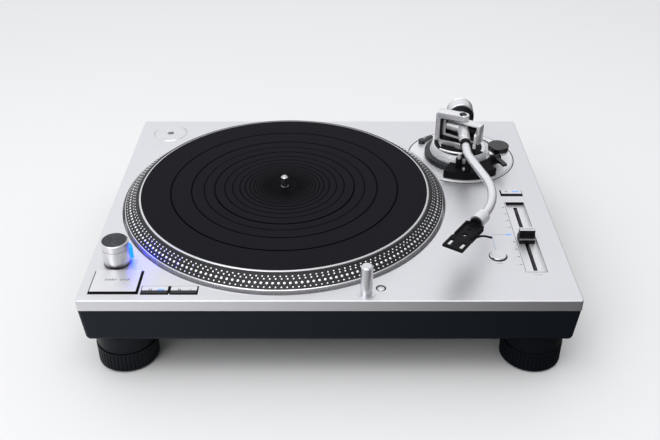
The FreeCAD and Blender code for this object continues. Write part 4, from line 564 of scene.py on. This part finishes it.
frame_ring = bmesh.new()
swing_on = at_pivot(HEAD_TURN) @ turned_to(90, "X")
low_side, high_side = ARM_UP - 11.6, ARM_UP + 10.6
cut_plate(frame_ring, [rectangle(-22.8, 22.8, low_side, high_side),
                       rectangle(-18.6, 18.6, low_side + 3.2, high_side - 2.4)], -5.4, 5.4, swing_on, 0.7)
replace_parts(add_piece("bearing_frame", frame_ring, "gimbal_body", arm_skin), "gimbal_frame")
# A thin black sheet inside the frame's window is painted shadow.
shadow_sheet = bmesh.new()
cut_plate(shadow_sheet, [rectangle(-18.8, 18.8, low_side + 3.0, high_side - 2.2),
                  rectangle(-18.3, 18.3, low_side + 3.5, high_side - 2.6)], -5.2, 5.2, swing_on, 0)
add_piece("frame_shadow_sheet", shadow_sheet, "gimbal_body", black_trim)
cover = bmesh.new()
sideways = at_pivot(HEAD_TURN, ARM_UP) @ turned_to(90, "Y")
turned(cover, [(0, 7.5), (5.9, 7.5), (5.9, 17.6), (0, 17.6)], sideways, 32)
add_piece("bearing_cover", cover, "tonearm_body", black_trim)
hub_sleeve = bmesh.new()
along_tube = forward(TUBE_TURN)
turned(hub_sleeve, [(4.6, 16.8), (6.2, 16.8), (6.2, 23.2), (5.3, 23.7), (5.3, 33), (4.6, 33)], along_tube, 40)
add_piece("hub_sleeve", hub_sleeve, "tonearm_body", arm_skin)
collar = bmesh.new()
turned(collar, [(4.6, 33), (5.7, 33), (5.7, 39.3), (5.3, 39.8), (4.6, 39.8)], along_tube, 40)
add_piece("tube_collar", collar, "tonearm_body", black_trim)

weight = bmesh.new()
weight_profile = [(8.05, -31), (13.6, -31), (15, -32.2), (15, -46.6), (14.6, -47), (14.6, -47.6),
                  (15, -48), (15, -49.2), (14.2, -50), (8.05, -50)]
turned(weight, weight_profile, along_tube, 64)
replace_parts(add_piece("weight_body", weight, "counterweight_body", pearl_skin), "counterweight")

# %% [markdown]
# ## The headshell
# The shell is a flat black plate: a broad front with two slots for the cartridge's screws, and a
# narrower rear with three lightening holes. Side walls stiffen the rear, and a collar joins the nut.

# %% Headshell
stylus = Matrix.Translation((0.11273, -0.14004, panel_top)) @ turned_to(HEAD_TURN)
shell = bmesh.new()
front_plate = [(-10.2, -4.4), (10.2, -4.4), (10.2, 13.5), (9.3, 15.5), (9.3, 41.5), (-9.3, 41.5),
               (-9.3, 15.5), (-10.2, 13.5)]
slots = [rectangle(side - 1.9, side + 1.9, -1.2, 8.6) for side in (-6.0, 6.0)]
holes = [round_hole(0, 20.6, 2.2), round_hole(0, 30.6, 1.6), round_hole(0, 36.6, 1.6)]
cut_plate(shell, [front_plate] + slots + holes, 32.6, 35.2, stylus, 0.3)
for wall in (rectangle(-9.3, -7.3, 17, 41.5), rectangle(7.3, 9.3, 17, 41.5)):
    cut_plate(shell, [wall], 30.5, 36.4, stylus, 0.4)
cut_plate(shell, [rectangle(-7.6, 7.6, 39.5, 41.5)], 30.5, 36.8, stylus, 0.4)
shell_axis = stylus @ Matrix.Translation((0, 0, ARM_UP * MM)) @ turned_to(90, "X")
turned(shell, [(0, -44.4), (5.6, -44.4), (5.6, -41), (0, -41)], shell_axis, 32)
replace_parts(add_piece("shell_plate", shell, "headshell_body", black_trim), "headshell")

# %% [markdown]
# ## Lip round the mat
# A polished lip stands a few tenths above the edge of the mat, which hides the cut edge of the
# rubber. Its outer side falls away before the black band begins.

# %% Lip
lip_ring = bmesh.new()
hub_spot = Matrix.Translation((hub.x, hub.y, panel_top))
lip_side = [(146.4, 12), (146.6, 13), (147.2, 13.25), (150.0, 13.1), (150.8, 12.4), (151, 12)]
turned(lip_ring, lip_side, hub_spot, 180)
add_piece("mat_lip", lip_ring, "platter_body", panel_skin)

# %% [markdown]
# ## Dots on the bevel
# Four rows of polished dots run round the black bevel, with the largest in the third row. A strobe
# lamp makes one row seem to stand still at each speed, so the rows hold different numbers of dots
# and drift past each other. Painted dots would lose their glint. The first dot of a row is a
# flattened sphere of few faces, set square on the slope, and one spin that duplicates makes the rest.

# %% Dots
rim, crest = 0.166, 0.1535
low, rise = 0.003, 0.009
slope = math.degrees(math.atan2(rise, rim - crest))
axis_point = Vector((hub.x, hub.y, panel_top))
dots = bmesh.new()
# How many dots, how far down the slope, and their radius in mm.
DOT_ROWS = ((178, 0.13, 0.8), (183, 0.29, 0.85), (189, 0.55, 1.35), (195, 0.80, 0.8))
for count, share, size in DOT_ROWS:
    seat = Matrix.Translation((crest + (rim - crest) * share, 0, low + rise * (1 - share)))
    lens = turned_to(slope, "Y") @ Matrix.Diagonal((1, 1, 0.28, 1))
    row = bmesh.ops.create_uvsphere(dots, u_segments=8, v_segments=6, radius=size * MM,
                                    matrix=Matrix.Translation(axis_point) @ seat @ lens)["verts"]
    faces = list(dict.fromkeys(face for vertex in row for face in vertex.link_faces))
    bmesh.ops.spin(dots, geom=faces, cent=axis_point, axis=(0, 0, 1), dvec=(0, 0, 0),
                   angle=math.tau * (count - 1) / count, steps=count - 1, use_duplicate=True)
dot_metal = blasted_metal("dot_metal", (0.95, 0.95, 0.96), 0.3, 0.9)
add_piece("strobe_dots", dots, "platter_body", dot_metal, 80)
print(sum(count for count, share, size in DOT_ROWS), "dots")

# %% [markdown]
# ## Printed words and marks
# The panel and its buttons carry small printed words and numbers and the scale beside the speed
# fader. Real ink is a few hundredths of a millimetre thick. Text becomes a mesh before it is placed,
# so that its object stays at the origin like every other piece.

# %% Printed marks
INK_LIFT, STRIP_LIFT, STRIP_SINK = 0.00003, 0.00004, 0.0001
ink = printed("grey_ink", (0.05, 0.05, 0.055))
pale_ink = printed("pale_ink", (0.45, 0.46, 0.48))
blue_mark = glowing("blue_mark", (0.06, 0.28, 0.85), 1.2)


def lettering(name, words, size, spot, body, finish, spacing=1.0):
    curve = bpy.data.curves.new(name, "FONT")
    curve.body = words
    curve.size = size * MM
    curve.space_character = spacing
    curve.align_x = "CENTER"
    curve.align_y = "CENTER"
    curve.extrude = 0.00002
    curve.offset = 0.00005
    curve.resolution_u = 3
    flat = bpy.data.objects.new(name + "_curve", curve)
    mesh = bpy.data.meshes.new_from_object(flat)
    bpy.data.objects.remove(flat)
    mesh.transform(Matrix.Translation(spot))
    mesh.materials.clear()
    mesh.materials.append(finish.material)
    made = bpy.data.objects.new(name, mesh)
    bpy.context.scene.collection.objects.link(made)
    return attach(made, body)


def on_top(name, dx=0.0, dy=0.0, lift=INK_LIFT):
    """A point on a part's top, in mm from the middle of it."""
    low_corner, high_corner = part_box(name)
    spot = (low_corner + high_corner) / 2
    return Vector((spot.x + dx * MM, spot.y + dy * MM, high_corner.z + lift))


def plate(shape, x, y, width, depth, bottom, top):
    """A small flat block, in metres."""
    size = Matrix.Diagonal((width, depth, top - bottom, 1))
    bmesh.ops.create_cube(shape, size=1, matrix=Matrix.Translation((x, y, (bottom + top) / 2)) @ size)


def on_panel(x, y):
    return Vector((x, y, panel_top + INK_LIFT))


def mark(shape, x, y, width, depth, above=STRIP_LIFT):
    """A printed strip on the panel, in metres."""
    plate(shape, x, y, width, depth, panel_top - STRIP_SINK, panel_top + above)


def lit_strip(name, button, body, dx, dy, width, depth):
    """A small lamp in the top of a button, in mm from its middle."""
    shape = bmesh.new()
    spot = on_top(button, dx, dy, 0)
    plate(shape, spot.x, spot.y, width * MM, depth * MM, spot.z - STRIP_SINK, spot.z + STRIP_LIFT)
    add_piece(name, shape, body, blue_mark)


lettering("start_stop_words", "START · STOP", 3.4, on_top("start_stop_button", 1, 1), "start_stop_body", ink,
          1.1)
lettering("number_33", "33", 3.2, on_top("speed_button_33", -4, 0), "speed_33_body", ink, 1.1)
lettering("number_45", "45", 3.2, on_top("speed_button_45", -4, 0), "speed_45_body", ink, 1.1)


def gap_and_shadow_strips(shape, name, front, right, back, left):
    """The dark gap round a flat button and the painted shadow beside it, as strips of those widths in mm."""
    low_corner, high_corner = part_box(name)
    x0, x1 = low_corner.x - left * MM, high_corner.x + right * MM
    y0, y1 = low_corner.y - front * MM, high_corner.y + back * MM
    for ends_x, ends_y in (((x0, x1), (y0, low_corner.y)), ((x0, x1), (high_corner.y, y1)),
                           ((x0, low_corner.x), (y0, y1)), ((high_corner.x, x1), (y0, y1))):
        plate(shape, sum(ends_x) / 2, sum(ends_y) / 2, ends_x[1] - ends_x[0], ends_y[1] - ends_y[0],
              panel_top - 0.0003, panel_top + 0.00006)


# Black strips round the buttons are partly real gap and partly painted shadow: at the front and right they
# are wider than the gaps and stand in for the buttons' shaded walls and cast shadows.
gap_shadow_strips = bmesh.new()
gap_and_shadow_strips(gap_shadow_strips, "start_stop_button", 2.3, 2.2, 0.3, 1.5)
gap_and_shadow_strips(gap_shadow_strips, "speed_button_33", 2.2, 1.4, 0.3, 0.6)
gap_and_shadow_strips(gap_shadow_strips, "speed_button_45", 2.2, 1.5, 0.3, 0.4)
gap_and_shadow_strips(gap_shadow_strips, "range_button", 5.0, 0.4, 0.2, 1.6)
reset = middle("reset_button")
# The black ring under the reset button sits 0.9 mm toward the front: a painted shadow crescent.
reset_shadow_crescent = Matrix.Translation((reset.x, reset.y - 0.0009, panel_top))
turned(gap_shadow_strips, [(7.0, -0.3), (8.9, -0.3), (8.9, 0.06), (7.0, 0.06)], reset_shadow_crescent)
pocket_low, pocket_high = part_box("pitch_bezel")
pocket = middle("pitch_bezel")
# A black strip on the back wall of the fader pocket is painted shade; thin black lines follow its front and
# right edges.
plate(gap_shadow_strips, pocket.x, pocket_high.y - 0.0003, 0.019, 0.0005, pocket_high.z, panel_top - 0.00005)
mark(gap_shadow_strips, pocket.x, pocket_low.y, pocket_high.x - pocket_low.x, 0.0004, 0.00006)
mark(gap_shadow_strips, pocket_high.x, pocket.y, 0.0004, pocket_high.y - pocket_low.y, 0.00006)
add_piece("button_gap_shadow_strips", gap_shadow_strips, "cabinet", black_trim)
lamp_top = on_top("lamp_button", 0, 0.3, -0.0001)
dome = bmesh.new()
turned(dome, [(0, 0), (3.4, 0), (3.2, 0.5), (2.2, 0.9), (0, 1.1)], Matrix.Translation(lamp_top), 32)
add_piece("lamp_dome", dome, "lamp_button_body", panel_skin)

# The scale beside the fader starts at the back. A lamp takes the place of its middle mark.
SCALE_BACK, SCALE_STEP, SCALE_MIDDLE = -21.2, 12.54, 4
scale_marks = bmesh.new()
faint_marks = bmesh.new()
for step in range(9):
    mark_y = (SCALE_BACK - SCALE_STEP * step) * MM
    mark(faint_marks, 0.1775, mark_y, 0.003, 0.0003, INK_LIFT)
    if step != SCALE_MIDDLE:
        mark(scale_marks, 0.1806, mark_y, 0.0018, 0.0010)
mark(scale_marks, 0.1829, -0.0722, 0.0004, 0.1225)
add_piece("fader_scale", scale_marks, "cabinet", ink)
add_piece("fader_lines", faint_marks, "cabinet", pale_ink)

dot_mark = bmesh.new()
dot_spot = Matrix.Translation((-0.1888, -0.1193, panel_top))
turned(dot_mark, [(0, -0.1), (0.9, -0.1), (0.9, 0.05), (0, 0.05)], dot_spot, 20)
add_piece("lamp_mark", dot_mark, "cabinet", ink)
for row, words in enumerate(("ON", "OFF")):
    beside_knob = on_panel(-0.1825, -0.1150 - 0.0045 * row)
    lettering("power_word_" + words.lower(), words, 2.3, beside_knob, "cabinet", pale_ink)

zero_mark = bmesh.new()
mark(zero_mark, 0.1772, -0.0714, 0.0053, 0.0016, 0.00005)
add_piece("zero_lamp", zero_mark, "cabinet", blue_mark)
blue_line = bmesh.new()
mark(blue_line, 0.1674, -0.0714, 0.0132, 0.0004)
mark(blue_line, 0.1604, -0.0847, 0.0004, 0.0266)
add_piece("reset_line", blue_line, "cabinet", printed("blue_ink", (0.22, 0.42, 0.75)))

lit_strip("range_lamp", "range_button", "range_body", 4.6, 0.6, 7.5, 1.6)
lettering("range_word", "×2", 3.0, on_top("range_button", -5.6, 0.4), "range_body", ink)
lettering("reset_word", "RESET", 2.2, on_panel(reset.x, reset.y - 0.0125), "cabinet", pale_ink)
lettering("speed_word", "PITCH", 2.4, on_panel(0.1935, -0.1375), "cabinet", pale_ink, 1.2)
lettering("number_78", "78", 2.6, on_top("speed_button_45", 6.0, 0), "speed_45_body", pale_ink, 1.1)

lit_strip("lamp_33", "speed_button_33", "speed_33_body", 5.5, 0, 6, 1.4)

# %% [markdown]
# ## Floor, lamps and world
# A pale seamless floor with large soft lamps gives the even studio light and the small shadow under
# the base. The paper gives back less light on the right, as if a dark card lay there, so the front
# of the cabinet darkens to the right, while the camera still sees it pale. The world is bright
# above, behind and on the left and dark toward the front right, because metal shows what stands
# round it: without a dark side the tonearm would look like plaster. The camera sees an even backdrop.

# %% Studio
WORLD_DARK, WORLD_BRIGHT, BACKDROP = 0.06, 0.96, 0.80
floor_shape = bmesh.new()
bmesh.ops.create_grid(floor_shape, x_segments=1, y_segments=1, size=6)
floor_mesh = bpy.data.meshes.new("floor")
floor_shape.to_mesh(floor_mesh)
floor_shape.free()
floor = bpy.data.objects.new("floor", floor_mesh)
bpy.context.scene.collection.objects.link(floor)
paper = Finish("studio_paper", (0.80, 0.80, 0.80), 0.0, 0.9, {"Specular IOR Level": 0.0})
pale = paper.mix(paper.noise(0.5), (0.82, 0.82, 0.82), (0.84, 0.84, 0.84))
toward_right = paper.axes()[0].over(0.02, 0.3)
bounce = paper.mix(toward_right, (0.75, 0.75, 0.75), (0.06, 0.06, 0.06))
paper.put("Base Color", paper.mix(paper.node("LightPath"), bounce, pale))
floor_mesh.materials.append(paper.material)


def softbox(name, spot, aim, wide, deep, watts):
    lamp = bpy.data.lights.new(name, "AREA")
    lamp.shape = "RECTANGLE"
    lamp.size = wide
    lamp.size_y = deep
    lamp.energy = watts
    made = bpy.data.objects.new(name, lamp)
    made.location = spot
    made.rotation_euler = (Vector(aim) - Vector(spot)).to_track_quat("-Z", "Y").to_euler()
    bpy.context.scene.collection.objects.link(made)


softbox("key", (-1.1, -1.5, 1.3), (0, -0.1, 0.08), wide=1.0, deep=0.8, watts=7.0)
softbox("overhead", (-0.2, -0.5, 2.1), (0, 0, 0.08), wide=1.8, deep=1.5, watts=18.0)

world = bpy.data.worlds.new("studio")
world.use_nodes = True
sky = world.node_tree
background = sky.nodes["Background"]
toward = sky.nodes.new("ShaderNodeTexCoord")
bright_side = sky.nodes.new("ShaderNodeVectorMath")
bright_side.operation = "DOT_PRODUCT"
bright_side.inputs[1].default_value = (-0.4, 0.5, 0.7)
level = sky.nodes.new("ShaderNodeMapRange")
level.inputs["From Min"].default_value = -0.5
level.inputs["From Max"].default_value = 0.7
level.inputs["To Min"].default_value = WORLD_DARK
level.inputs["To Max"].default_value = WORLD_BRIGHT
sight = sky.nodes.new("ShaderNodeLightPath")
seen = sky.nodes.new("ShaderNodeMix")
seen.inputs[3].default_value = BACKDROP
sky.links.new(toward.outputs["Generated"], bright_side.inputs[0])
sky.links.new(bright_side.outputs["Value"], level.inputs["Value"])
sky.links.new(sight.outputs["Is Camera Ray"], seen.inputs[0])
sky.links.new(level.outputs["Result"], seen.inputs[2])
sky.links.new(seen.outputs[0], background.inputs["Strength"])
background.inputs["Color"].default_value = (0.97, 0.98, 1.0, 1)
bpy.context.scene.world = world
